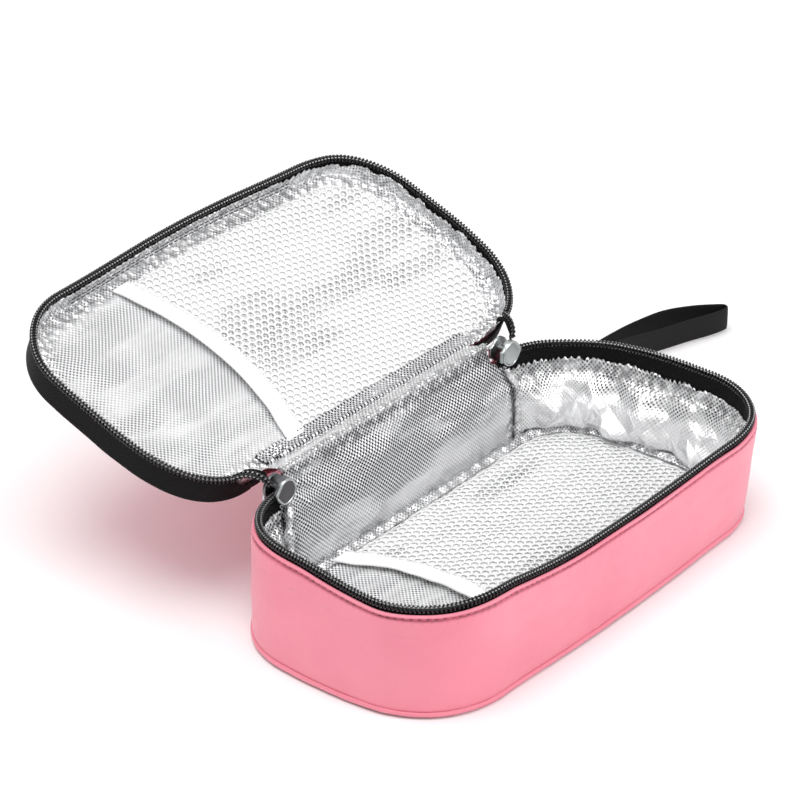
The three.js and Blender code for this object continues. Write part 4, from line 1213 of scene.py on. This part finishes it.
# The bends are where the wire turns over. The groove presses the crests down by a fourth power.
squared = add(coil_tree, "ShaderNodeMath", [sine, sine], operation="MULTIPLY")
fourfold = add(coil_tree, "ShaderNodeMath", [squared, 4.0], operation="MULTIPLY")
rest = add(coil_tree, "ShaderNodeMath", [1.0, squared], operation="SUBTRACT")
bends = add(coil_tree, "ShaderNodeMath", [fourfold, rest], operation="MULTIPLY")
fourth = add(coil_tree, "ShaderNodeMath", [squared, squared], operation="MULTIPLY")
dip = add(coil_tree, "ShaderNodeMath", [fourth, size["Groove"]], operation="MULTIPLY")
left_up = add(coil_tree, "ShaderNodeMath", [1.0, dip], operation="SUBTRACT")
crest = add(coil_tree, "ShaderNodeMath", [sine, left_up], operation="MULTIPLY")

moves = []
for label, share, reach in (("inward", cosine, "Half Width"), ("upward", crest, "Half Height")):
    way = add(coil_tree, "GeometryNodeInputNamedAttribute", {"Name": label},
              data_type="FLOAT_VECTOR")
    amount = add(coil_tree, "ShaderNodeMath", [share, size[reach]], operation="MULTIPLY")
    moves.append(add(coil_tree, "ShaderNodeVectorMath", [way, amount], operation="SCALE"))
offset = add(coil_tree, "ShaderNodeVectorMath", moves, operation="ADD")
# The bend number carries the painted highlight of the coil's material.
marked = add(coil_tree, "GeometryNodeStoreNamedAttribute",
             {"Geometry": fine, "Name": "bend", "Value": bends}, data_type="FLOAT", domain="POINT")
wound = add(coil_tree, "GeometryNodeSetPosition", {"Geometry": marked, "Offset": offset})
joined = add(coil_tree, "GeometryNodeJoinGeometry")
for curve, corners, radius in ((wound, 5, "Wire"), (line, 6, "Core")):
    section = add(coil_tree, "GeometryNodeCurvePrimitiveCircle",
                  {"Resolution": corners, "Radius": size[radius]})
    swept = add(coil_tree, "GeometryNodeCurveToMesh",
                {"Curve": curve, "Profile Curve": section, "Fill Caps": True})
    coil_tree.links.new(swept.outputs[0], joined.inputs[0])
end_tree(coil_tree, given, joined)
print("nodes in the coil tree:", len(coil_tree.nodes))


# %% Base teeth
def line_mesh(name, points, **vectors):
    """A line of edges through points in millimetres, with vectors stored on its points."""
    mesh = bpy.data.meshes.new(name)
    pairs = [(k, k + 1) for k in range(len(points) - 1)]
    mesh.from_pydata((np.asarray(points) * MM).tolist(), pairs, [])
    for label, values in vectors.items():
        attribute = mesh.attributes.new(label, "FLOAT_VECTOR", "POINT")
        attribute.data.foreach_set("vector", np.asarray(values, float).ravel())
    return mesh


def coil(name, distance, height, move):
    """Coil teeth along the rim at a height, moved to their place by move(points, distance)."""
    middle = on_rim(distance, tape_middle, height)
    inner = move(on_rim(distance, tape_middle + 1, height), distance)
    above = move(middle + (0, 0, 1), distance)
    here = move(middle, distance)
    mesh = line_mesh(name, here, inward=inner - here, upward=above - here)
    return run_tree(name, coil_tree, mesh, nylon_coil)


base_teeth = coil("base_teeth", np.linspace(-3.5, zip_length + 3.5, 900), zip_height - 1.35,
                  lambda p, s: settle(p))
finish_piece(base_teeth, "base", "zip_coil", "base_zip_chain")
print("base teeth faces:", len(base_teeth.data.polygons))

# %% [markdown]
# ## The lid's zip, and its twist at the hinge
# The lid carries the other half of the zip. Near each slider it has to twist from the open lid
# down to the base, where the two halves meet. Points of the lid are built closed and then turned
# about the hinge, and close to the sliders only by a share of that turn. The rest rides with the
# lid. The lid's tape is sewn round both back corners of the lid, where it narrows to the strip that
# the twisting end grows out of.

# %% Lid teeth and tape
def twist_lid(points, distance):
    """Turns closed lid points by the share of the lid's angle that fits their distance."""
    away = np.minimum(distance, zip_length - distance)
    share = smooth(away, 0, flex_length).reshape(-1, *[1] * (points.ndim - 2))
    return turn_lid(points, -lid_open_angle * share)


lid_steps = np.linspace(flex_length, zip_length - flex_length, 880)
lid_teeth = coil("lid_teeth", lid_steps, zip_height + 1.6, twist_lid)
finish_piece(lid_teeth, "lid", "zip_coil", "lid_zip_chain")

lid_tape_steps = np.linspace(-5, zip_length + 5, 460)
tape_away = np.minimum(lid_tape_steps, zip_length - lid_tape_steps)
tape_low = zip_height + 2.6 + 6.2 * (1 - smooth(tape_away, 4, flex_length + 1))
lid_tape = tape_piece("lid_tape", tape_low, zip_height + 12.8, lid_tape_steps, open_lid)
finish_piece(lid_tape, "lid", "zip_tape", "lid_zip_tape")

bend_steps = np.array([slider_clear, flex_length])
near, far = twist_lid(on_rim(bend_steps, tape_middle, zip_height + 2), bend_steps) * MM
for word, low, high in (("left", slider_clear, flex_length),
                        ("right", zip_length - flex_length, zip_length - slider_clear)):
    ends = np.linspace(low, high, 40)
    teeth = coil("lid_teeth_end_" + word, ends, zip_height + 1.6, twist_lid)
    away = np.minimum(ends, zip_length - ends)
    band_top = zip_height + 6.2 + 3.0 * smooth(away, 0, flex_length)
    tape = tape_piece("lid_tape_end_" + word, zip_height + 2.6, band_top, ends,
                      lambda p: twist_lid(p, ends))
    for piece, slot_name in ((teeth, "zip_coil"), (tape, "zip_tape")):
        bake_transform(piece)
        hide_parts("lid_zip_end_" + word)
print("lid teeth faces:", len(lid_teeth.data.polygons))

# %% [markdown]
# ## Lid: crowned fabric, foam and lining
# The lid is a shallow dome. Its pink panel rises from the tape to a gentle crown, foam fills the
# dome, and one sheet of film lines it. All three are sheets inside the rim whose height depends
# only on how far a point is from the rim, plus the random slack of cloth.

# %% Lid surfaces
def crown_height(x, y):
    """Outer face of the lid panel above the zip line."""
    rise = np.interp(inset_of(x, y), [2.3, 3.4, 6, 10, 16, 22, 31, 53],
                     [11.9, 13.1, 14.6, 15.7, 16.8, 17.4, 17.7, 17.8])
    return rise + 0.3 * field(np.stack([x, y], -1), 26, 71) * smooth(inset_of(x, y), 4, 14)


def away_from_far_edge(s):
    """0 along the lid's long edge opposite the hinge, which is sewn flat, and 1 elsewhere."""
    return smooth(np.abs(s - (whole_length - 2 * corner_x) / 2), 48, 66)


def lining_height(x, y):
    """The lid lining's face on the side of the cavity, above the zip line."""
    spot = np.stack([x, y], -1)
    into = inset_of(x, y)
    rise = np.interp(into, [4.0, 5.5, 8, 14, 53], [9.6, 10.2, 10.5, 10.3, 10.2])
    slack = 0.4 * field(spot, 34, 72) + 0.26 * creases(spot * (0.6, 1), 15, 73)
    slack = slack * smooth(into, 6, 14)
    s = along_rim(x, y)
    crumple = 0.35 * field(spot, 2.2, 74) + 0.3 * creases(spot, 4.5, 79)
    gather = 0.75 * pleats(s + 0.5 * into, 3.3, 76) + crumple
    gather = gather * (0.4 + 0.6 * away_from_far_edge(s))
    gather = gather * np.where(s > zip_length, 0.25 + 0.75 * smooth(-x, 5, 50), 1.0)
    return rise - np.maximum(slack, -0.35) - (0.6 + gather) * (1 - smooth(into, 5, 16))


def lid_film_height(x, y):
    """The lid lining's face in the closed case."""
    return zip_height + lining_height(x, y)


def lid_hem(s):
    """The gathered edge of the lid's lining, which stands up over the tape."""
    rows = np.array([(2.95, 3.7), (2.9, 4.6), (2.9, 5.5), (2.95, 6.4), (3.1, 7.4), (3.3, 8.4),
                     (3.6, 9.2)])
    inset, height = rows[:, 0] + 0 * s, rows[:, 1] + 0 * s
    back_edge = (s > zip_length - 2) | (s < 2)
    loose = 1 - smooth(height, 3.7, 8.6)
    tips = 0.4 + pleats(s, 2.7, 77) + 0.9 * field(s[..., None] + 0 * height[..., None], 4.5, 78)
    ragged = 1.1 * tips * loose * (0.2 + 0.8 * away_from_far_edge(s))
    height = height + np.where(back_edge, 4.0 * loose, ragged)
    frill = 0.5 * pleats(s + 0.4 * height, 2.9, 76)
    return on_rim(s + 0 * inset, inset + np.maximum(frill, -0.25), zip_height + height)


print("the crown stands", round(float(crown_height(0.0, 0.0)), 1), "mm above the zip line")


# %% Lid panels
lid_panel = disc("lid_outer_fabric", 2.3, lambda x, y: zip_height + crown_height(x, y), pink, 30)
move_points(thicken(lid_panel, 1.0), open_lid)
finish_piece(lid_panel, "lid", "pink_fabric", "lid_outer_panel")

lid_pad_height = 11.1
lid_pad = disc("lid_pad", 7.0, level(zip_height + lid_pad_height), white_foam, 14, 240, flip=True)
thicken(lid_pad, 1.0)


def fill_dome(points):
    """Lifts the pad's upper face to just below the crown."""
    x, y, z = points.T
    top = zip_height + crown_height(x, y) - 1.3
    high = z > zip_height + lid_pad_height + 0.5
    return np.stack([x, y, np.where(high, top, z)], -1)


move_points(move_points(lid_pad, fill_dome), open_lid)
finish_piece(lid_pad, "lid", "foam", "lid_foam")

lid_lining = disc("lid_film", 4.2, lid_film_height, film_lid, 53, 820, flip=True, hem=lid_hem)
thicken(lid_lining, film_thick)


def lid_gather(p):
    """Full at the gathered edge; along the hinge only towards the left slider."""
    near = 1 - smooth(inset_of(p[:, 0], p[:, 1]), 7, 13)
    clean = (p[:, 1] > 25) * smooth(p[:, 0], -50, -20) * (1 - smooth(p[:, 0], 55, 64))
    return near * (1 - clean)


paint(lid_lining, "gather", lid_gather)
paint(lid_lining, "veiled", lambda p: under_net(p, lid_mouth, 34))
move_points(lid_lining, open_lid)
finish_piece(lid_lining, "lid", "foil_lining", "lid_lining")
print("lid film faces:", len(lid_lining.data.polygons))

# %% [markdown]
# ## Strips across the hinge
# Between the hinge seam and the lid lie two short strips, film inside and pink fabric outside.
# They are the cloth that really bends, so each blends from the base to the lid.

# %% Hinge strips
def hinge_strip(name, material, far, bulge, thickness, node):
    """A strip of cloth from the hinge line to a far point of the closed lid, in y and z."""
    start = np.array([hinge_y, hinge_z])
    span = np.array(far) - start
    width = np.linalg.norm(span)
    t = np.linspace(0.6 / width, 1, 16)
    normal = np.array([-span[1], span[0]]) / width
    line = start + span * t[:, None] + normal * (bulge * np.sin(math.pi * t))[:, None]
    x = np.linspace(-59, 59, 240)[:, None] + 0 * t
    spot = np.stack([x, 0 * x + t * width], -1)
    lumps = 0.22 * field(spot, 3.6, 81) + 0.12 * field(spot, 1.8, 82)
    y, z = (line[:, axis] + lumps * normal[axis] for axis in (0, 1))
    piece = thicken(cloth(name, np.stack([x, y, z], -1), spot, material), thickness, 0.0)
    move_points(piece, open_lid)
    reach = open_lid(np.array([0, *(start + span * 0.7)])) * MM
    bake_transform(piece)
    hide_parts(node)
    return piece, width


film_strip, film_wide = hinge_strip("lid_hinge_film", film_lid, (49.6, zip_height + 9.3), 0.45,
                                    film_thick, "lid_hinge_lining")
pink_strip, pink_wide = hinge_strip("lid_hinge_cloth", pink, (50.6, zip_height + 12.2), -0.6,
                                    fabric_thick, "lid_hinge_fabric")
print("the strips are", round(film_wide, 1), "and", round(pink_wide, 1), "mm wide")

# %% [markdown]
# ## The strip along the lid's hinge edge
# A folded strip of film covers the net's edge beside the hinge. Its two folds stand up as bright
# lines, and between them the scrim shows dark.

# %% Edge strip
def edge_strip(low_y, high_y):
    """A folded strip on the lid's film between two insets across the case."""
    across = np.linspace(0, 1, 18)
    x = np.linspace(-57, 63, 300)[:, None] + 0 * across
    y = low_y + (high_y - low_y) * across + 0 * x
    fold = np.exp(-((across - 0.1) / 0.07) ** 2) + np.exp(-((across - 0.9) / 0.07) ** 2)
    spot = np.stack([x, y], -1)
    stand = 0.75 + 0.55 * fold + (0.18 * field(spot, 3.2, 97) + 0.1 * field(spot, 1.5, 98))
    stand = stand * np.where((across < 0.02) | (across > 0.98), 0.1, 1.0)
    z = np.minimum(lid_film_height(x, y), zip_height + 9.9) - stand
    piece = cloth("lid_edge_strip", open_lid(np.stack([x, y, z], -1)), spot, film_edge)
    return thicken(piece, foil_edge_thick)


strip = edge_strip(42.9, 49.6)
finish_piece(strip, "lid", "foil_binding")
print("edge strip faces:", len(strip.data.polygons))

# %% [markdown]
# ## Geometry Nodes: knitted net
# The pockets are a warp-knitted net with small six-sided holes. A sheet of triangles with the
# pocket's outline is cut first, on the bias, as the real net is. The tree takes its dual mesh,
# which turns triangles to hexagons, then keeps only the edges and gives each a thin four-sided
# strand, fuller in some patches than in others. The corners of the sheet already lie on the
# lining, so the net follows every fold below it. Knitted yarn is pressed flat where it lies, so
# the strands are squashed towards the film in the end.

# %% The net tree
net_tree, given = new_tree("hexagon net", {"Strand": 0.00052, "Fullness": 0.15})
size = given.outputs
hexes = add(net_tree, "GeometryNodeDualMesh", {"Mesh": size["Geometry"], "Keep Boundaries": True})
strands = add(net_tree, "GeometryNodeMeshToCurve", [hexes])
yarn = add(net_tree, "GeometryNodeCurvePrimitiveCircle",
           {"Resolution": 4, "Radius": size["Strand"]})
place = add(net_tree, "GeometryNodeInputPosition")
slanted = add(net_tree, "ShaderNodeVectorMath", [place, (18, 70, 0)], operation="MULTIPLY")
patches = add(net_tree, "ShaderNodeTexNoise", {"Vector": slanted, "Scale": 1.0, "Detail": 1.0})
swing = add(net_tree, "ShaderNodeMath", [patches, 0.5], operation="SUBTRACT")
amount = add(net_tree, "ShaderNodeMath", [size["Fullness"], 6.0], operation="MULTIPLY")
swell = add(net_tree, "ShaderNodeMath", [swing, amount], operation="MULTIPLY")
fuller = add(net_tree, "ShaderNodeMath", [swell, 1.0], operation="ADD")
knit = add(net_tree, "GeometryNodeCurveToMesh",
           {"Curve": strands, "Profile Curve": yarn, "Scale": fuller})
end_tree(net_tree, given, knit)
cell_length, cell_rise, net_turn = 3.4, 2.7, math.radians(-45)
print("nodes in the net tree:", len(net_tree.nodes))


# %% Nets
def net_sheet(name, inset, mouth, surface, edge_lift):
    """A triangle sheet on a surface, from the band's edge to the seam, as the net's base. The
    strands round its border sink into the film, as they do where a net is caught in a seam."""
    columns, rows = np.arange(-36, 37), np.arange(-46, 47)
    along = columns[:, None] * cell_length + (rows % 2) * cell_length / 2
    across = rows * cell_rise + 0 * along
    x = along * math.cos(net_turn) - across * math.sin(net_turn)
    y = along * math.sin(net_turn) + across * math.cos(net_turn)
    keep = (inset_of(x, y) > inset) & (x > mouth(y) + edge_lift)
    number = np.full(x.shape, -1)
    number[keep] = np.arange(keep.sum())
    faces = []
    for c in range(len(columns) - 1):
        for r in range(len(rows) - 1):
            a, b = number[c, r], number[c + 1, r]
            d, e = number[c, r + 1], number[c + 1, r + 1]
            pairs = ((a, b, e), (a, e, d)) if rows[r] % 2 else ((a, b, d), (b, e, d))
            faces += [list(map(int, p)) for p in pairs if min(p) >= 0]
    mesh = bpy.data.meshes.new(name)
    points = np.stack([x, y, surface(x, y)], -1)[keep]
    mesh.from_pydata((points * MM).tolist(), [], faces)
    return mesh


def sunk(x, y, inset):
    """1 at an inset from the rim and 0 two millimetres further in."""
    return 1 - smooth(inset_of(x, y), inset, inset + 2)


def base_net_height(x, y):
    """The middle of the base's net, on the floor's film."""
    return floor_height(x, y) + 0.45 - 1.0 * sunk(x, y, 9.8)


def lid_net_height(x, y):
    """The middle of the lid's net in the closed case, on the lid's film."""
    return lid_film_height(x, y) - 0.45 + 1.3 * sunk(x, y, 7.5)


def pocket_net(name, inset, mouth, surface):
    """A net on a surface, with its round strands pressed flat towards it."""
    def press(p):
        middle = surface(p[..., 0], p[..., 1])
        return np.stack([p[..., 0], p[..., 1], middle + 0.6 * (p[..., 2] - middle)], -1)

    sheet = net_sheet(name, inset, mouth, surface, 7.8)
    return move_points(run_tree(name, net_tree, sheet, net_yarn), press)


base_net = pocket_net("base_net", 8.6, base_mouth, base_net_height)
finish_piece(base_net, "base", "net", "base_pocket_net")
lid_net = move_points(pocket_net("lid_net", 6.0, lid_mouth, lid_net_height), open_lid)
finish_piece(lid_net, "lid", "net", "lid_pocket_net")
print("net faces:", len(base_net.data.polygons), len(lid_net.data.polygons))

# %% [markdown]
# ## Pocket bands
# Each net is bound at its mouth with white elastic band. It is sewn at both ends only, so its
# middle bows towards the net and its free edge stands off the lining by about a millimetre.

# %% Elastic bands
def pocket_band(name, mouth, half, surface, facing):
    """A band along a bowed mouth. It stands off a surface upwards (1) or downwards (-1)."""
    width = 9.2
    y, across = np.meshgrid(np.linspace(-half, half, 160), np.linspace(0, width, 14), indexing="ij")
    x = mouth(y) + across
    held = 1 - np.abs(y / half) ** 3
    bow = 1.3 * (1 - across / width) ** 1.4 + 0.25 * np.sin(across * math.pi / width)
    lift = 0.7 + held * bow + 0.1 * field(np.stack([x, y], -1), 6, 91)
    points = np.stack([x, y, surface(x, y) + facing * lift], -1)
    piece = cloth(name, points, np.stack([y, across], -1), band_elastic, flip=facing > 0)
    return thicken(piece, band_thick, 1.0)


base_band = pocket_band("base_band", base_mouth, 44.0, floor_height, 1)
finish_piece(base_band, "base", "white_band", "base_pocket_band")
lid_band = move_points(pocket_band("lid_band", lid_mouth, 45.4, lid_film_height, -1), open_lid)
finish_piece(lid_band, "lid", "white_band", "lid_pocket_band")
print("band faces:", len(base_band.data.polygons), len(lid_band.data.polygons))

# %% [markdown]
# ## Sliders and pulls
# The sliders and their pulls are hard die castings, so their CAD shapes are right already. A copy
# of each is welded and its edges are rounded a little, as tumbling does, so that they catch light.

# %% Sliders
def hard_copy(node, name, material, width):
    """A copy of a hard CAD node with merged points and rounded edges."""
    piece = weld(show(name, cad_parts[node].data.copy(), material))
    edge = piece.modifiers.new("round edges", "BEVEL")
    edge.width, edge.segments, edge.limit_method = width * MM, 2, "ANGLE"
    edge.angle_limit = math.radians(35)
    return apply_modifiers(piece)


for word, metal in (("left", shaded_nickel), ("right", bright_nickel)):
    slider = hard_copy("slider_" + word, "zip_slider_" + word, metal, 0.22)
    finish_piece(slider, "slider_" + word, "slider_metal", "slider_" + word)
    pull = hard_copy("slider_pull_" + word, "zip_pull_" + word, bright_nickel, 0.2)
    finish_piece(pull, "pull_" + word, "slider_metal", "slider_pull_" + word)


def pear(count, nose, radius, half):
    """The outline of a slider's plate: a round head that narrows to a blunt nose at -x."""
    turn = np.linspace(0, 2 * math.pi, count, endpoint=False)
    narrow = smooth(-np.cos(turn), 0.1, 1.0)
    x = radius * np.cos(turn) - (nose - radius) * narrow
    z = radius * np.sin(turn) * (1 - (1 - half / radius) * narrow ** 2)
    return np.stack([x, z], -1)


def slider_face(word, side, metal, field_metal):
    """The smooth inner face of a slider: a domed field inside a raised bright rim."""
    x, z = pear(64, 5.6, 5.1, 2.4).T[..., None]
    rings = np.array([(1.0, 0.0), (1.0, 0.5), (0.97, 0.72), (0.92, 0.78), (0.87, 0.72), (0.85, 0.5),
                      (0.8, 0.5), (0.55, 0.62), (0.3, 0.7), (0.001, 0.72)])
    share, lift = rings.T
    points = np.stack([side * (slider_x - x * share), slider_front - lift + 0 * x,
                       slider_z + z * share], -1)
    face = cloth("zip_slider_face_" + word, points, points[..., [0, 2]], metal, loop_u=True,
                 flip=side < 0)
    face.data.materials.append(field_metal)
    rim_rings = 5
    for number, polygon in enumerate(face.data.polygons):
        polygon.material_index = int(number % (len(rings) - 1) >= rim_rings)
    finish_piece(face, "slider_" + word, "slider_metal")


slider_x, slider_z = 66.0, zip_height + 0.4
slider_front = float(places_in(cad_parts["slider_left"].data)[:, 1].min())
# The left face's grey field is a painted reflection.
slider_face("left", -1, bright_nickel, reflection_field)
slider_face("right", 1, bright_nickel, bright_nickel)
print("slider faces at y", round(slider_front, 2))

# %% [markdown]
# ## Geometry Nodes: lines of stitches
# A seam is a row of short thread ends of one length. One tree spaces points evenly along a line
# and lays a small six-sided bar on each, turned to follow the line. The lines are taken from the
# same surfaces as the cloth that they hold, lifted by the thread's radius.

# %% The stitch tree
stitch_tree, given = new_tree("stitches", {"Spacing": 0.0028, "Length": 0.002, "Thread": 0.00022})
size = given.outputs
seam_line = add(stitch_tree, "GeometryNodeMeshToCurve", [size["Geometry"]])
spots = add(stitch_tree, "GeometryNodeCurveToPoints",
            {"Curve": seam_line, "Length": size["Spacing"]}, mode="LENGTH")
bar = add(stitch_tree, "GeometryNodeMeshCylinder",
          {"Vertices": 6, "Radius": size["Thread"], "Depth": size["Length"]})
heading = add(stitch_tree, "FunctionNodeAlignRotationToVector",
              {"Vector": spots.outputs["Tangent"]}, axis="Z")
laid = add(stitch_tree, "GeometryNodeInstanceOnPoints",
           {"Points": spots, "Instance": bar, "Rotation": heading})
end_tree(stitch_tree, given, laid)
print("nodes in the stitch tree:", len(stitch_tree.nodes))

# %% [markdown]
# ## The seams that show
# Pink thread holds the shell's hem in its groove. Grey thread runs on the bindings of the floor
# and the hinge, and two dark rows cross the lid's far edge. White thread holds the two bands.
# Each row is a line of points on the surface that it holds, and the tree makes thread of it.

# %% Rows of stitches
def stitches(name, points, thread, body, length, radius):
    """A row of stitches along points. All measures are in millimetres."""
    piece = run_tree(name, stitch_tree, line_mesh(name, points), thread, Length=length * MM,
                     Thread=radius * MM)
    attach(piece, body)
    print(name, len(piece.data.polygons), "faces")


hem_steps = np.linspace(1, zip_length - 1, 700)
hem_line = settle(on_rim(hem_steps, 0.12, hem_seam))
stitches("hem_stitches", hem_line, pink_thread, "base", 1.9, 0.3)
floor_row = settle(on_rim(np.linspace(0, whole_length, 900), 8.3, 8.95))
stitches("floor_stitches", floor_row, grey_thread, "base", 1.7, 0.2)
hinge_row = hinge_path + np.array([0, -0.9, 1.25])
stitches("hinge_stitches", hinge_row, grey_thread, "base", 1.7, 0.2)

row_x = np.linspace(-60, 62, 200)
for word, inset, lift in (("outer", 3.95, 5.6), ("inner", 4.1, 7.3)):
    row = np.stack([row_x, inset - half_width + 0 * row_x, zip_height + lift + 0 * row_x], -1)
    stitches("lid_edge_stitches_" + word, open_lid(row), dark_thread, "lid", 1.6,
             0.26)

for body, mouth, half, surface, lift, place in (
        ("base", base_mouth, 43.0, floor_height, 2.0, np.asarray),
        ("lid", lid_mouth, 44.5, lid_film_height, -1.9, open_lid)):
    row_y = np.linspace(-half, half, 120)
    row_x = mouth(row_y) + 8.3
    row = place(np.stack([row_x, row_y, surface(row_x, row_y) + lift], -1))
    stitches(body + "_band_stitches", row, white_thread, body, 1.8, 0.2)

# %% [markdown]
# ## Wrist strap
# The strap is one length of webbing, doubled and sewn in at the back right corner. Its line runs
# out, round the fold and back, and its width stands upright, as in the photograph.

# %% Strap
strap_shares = [
    (-0.022, -0.014), (0.0, 0.0), (0.24, 0.012), (0.46, 0.035), (0.61, 0.05), (0.74, 0.052),
    (0.85, 0.03), (0.93, -0.018), (0.985, -0.07), (1.0, -0.092), (0.985, -0.106), (0.93, -0.094),
    (0.85, -0.064), (0.74, -0.03), (0.61, -0.002), (0.46, 0.006), (0.24, -0.003), (0.0, -0.0145),
    (-0.022, -0.019),
]
strap_reach, strap_foot, strap_head = 137, 5.6, 22.0
strap_knots = [(corner_x + strap_reach * a, half_width + 2.55 + strap_reach * c,
                strap_head + (strap_foot - strap_head) * float(smooth(a, 0, 0.8)))
               for a, c in strap_shares]
strap_line, strap_length = curve_through(strap_knots, 420)
ahead = np.gradient(strap_line, axis=0)
side = np.stack([-ahead[:, 1], ahead[:, 0], 0 * ahead[:, 0]], -1)
side /= np.linalg.norm(side, axis=1)[:, None]
ahead /= np.linalg.norm(ahead, axis=1)[:, None]
up = np.cross(ahead, side)
up *= np.sign(up[:, 2:3])
side *= np.sign(side[:, 1:2] + 1e-9)

# The webbing leans over where it leaves the case, and more before its fold than after it.
back_strand = np.arange(len(strap_line)) > np.argmax(strap_line[:, 0])
out_share = (strap_line[:, 0] - corner_x) / strap_reach
lean = np.where(back_strand, -0.55, -1.05) * (1 - smooth(out_share, 0.15, 0.72))
cosine, sine = np.cos(lean)[:, None], np.sin(lean)[:, None]
up, side = up * cosine + side * sine, side * cosine - up * sine

# A flat oval section: half a width of 5 mm, half a thickness of 0.55 mm.
turn = np.linspace(0, 2 * math.pi, 20, endpoint=False)
across, through = (half * np.sign(wave) * np.abs(wave) ** 0.5
                   for half, wave in ((5.0, np.cos(turn)), (0.55, np.sin(turn))))
section = up[:, None] * across[:, None] + side[:, None] * through[:, None]
strap_points = strap_line[:, None] + section
strap_along = np.pad(np.linspace(0, strap_length, 420), 1, mode="edge")
strap = weld(cloth("wrist_strap", capped(strap_points, strap_line[0], strap_line[-1]),
                   pairs_of(strap_along, across), webbing, loop_v=True))
finish_piece(strap, "strap", "webbing", "wrist_strap_loop")
print("strap is", round(strap_length), "mm of webbing")

# %% [markdown]
# ## Table and light
# The photograph has a white table that runs into a white background, and soft shadows. A large
# pale plane and a bright even world give most of it. One soft area light hangs above the case,
# and a weaker one stands in front of it on the right.

# %% Floor, world and lights
floor_mesh = bpy.data.meshes.new("table")
floor_mesh.from_pydata([(-6, -6, 0), (6, -6, 0), (6, 6, 0), (-6, 6, 0)], [], [(0, 1, 2, 3)])
table_top = show("table", floor_mesh, new_material("matt_white_table", plain_finish, "f6f6f6", 0.9,
                                                   0.0, 0, 40, 0.0))
table_top.location.z = -0.0002
table_top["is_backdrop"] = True

world = bpy.data.worlds.new("studio")
bpy.context.scene.world = world
world.use_nodes = True
tree = world.node_tree
direction = add(tree, "ShaderNodeTexCoord").outputs["Generated"]
rise = add(tree, "ShaderNodeSeparateXYZ", [direction]).outputs["Z"]
glow = add(tree, "ShaderNodeMapRange", [rise, 0.0, 0.9, 0.78, 1.0])
sky = tree.nodes["Background"]
tree.links.new(glow.outputs[0], sky.inputs["Color"])
sky.inputs["Strength"].default_value = 0.8


def area_light(name, place, aim, size, power):
    """A rectangular light at a place in metres, turned towards its aim."""
    light = bpy.data.lights.new(name, "AREA")
    light.shape, light.size, light.size_y, light.energy = "RECTANGLE", size[0], size[1], power
    lamp = bpy.data.objects.new(name, light)
    bpy.context.scene.collection.objects.link(lamp)
    lamp.location = place
    lamp.rotation_mode = "QUATERNION"
    lamp.rotation_quaternion = (Vector(aim) - Vector(place)).to_track_quat("-Z", "Y")
    lamp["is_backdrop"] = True


area_light("softbox_above", (-0.25, 0.1, 1.3), (0.0, 0.05, 0.0), (1.0, 0.9), 10.0)
area_light("softbox_front", (0.4, -1.35, 0.9), (0.0, 0.0, 0.03), (0.9, 0.7), 7.5)
bpy.context.scene.view_settings.view_transform = "Standard"
print("lights:", len(bpy.data.lights))

# %% [markdown]
# ## The dressed model's box
# The box round every visible piece, in millimetres, with the table and lights left out. The
# dressed model stays inside the CAD model's box, give or take the few millimetres that cloth may
# stand proud.

# %% The dressed model's box
low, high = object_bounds()
print("visual", [round(v * 1000, 1) for v in (*low, *high)])
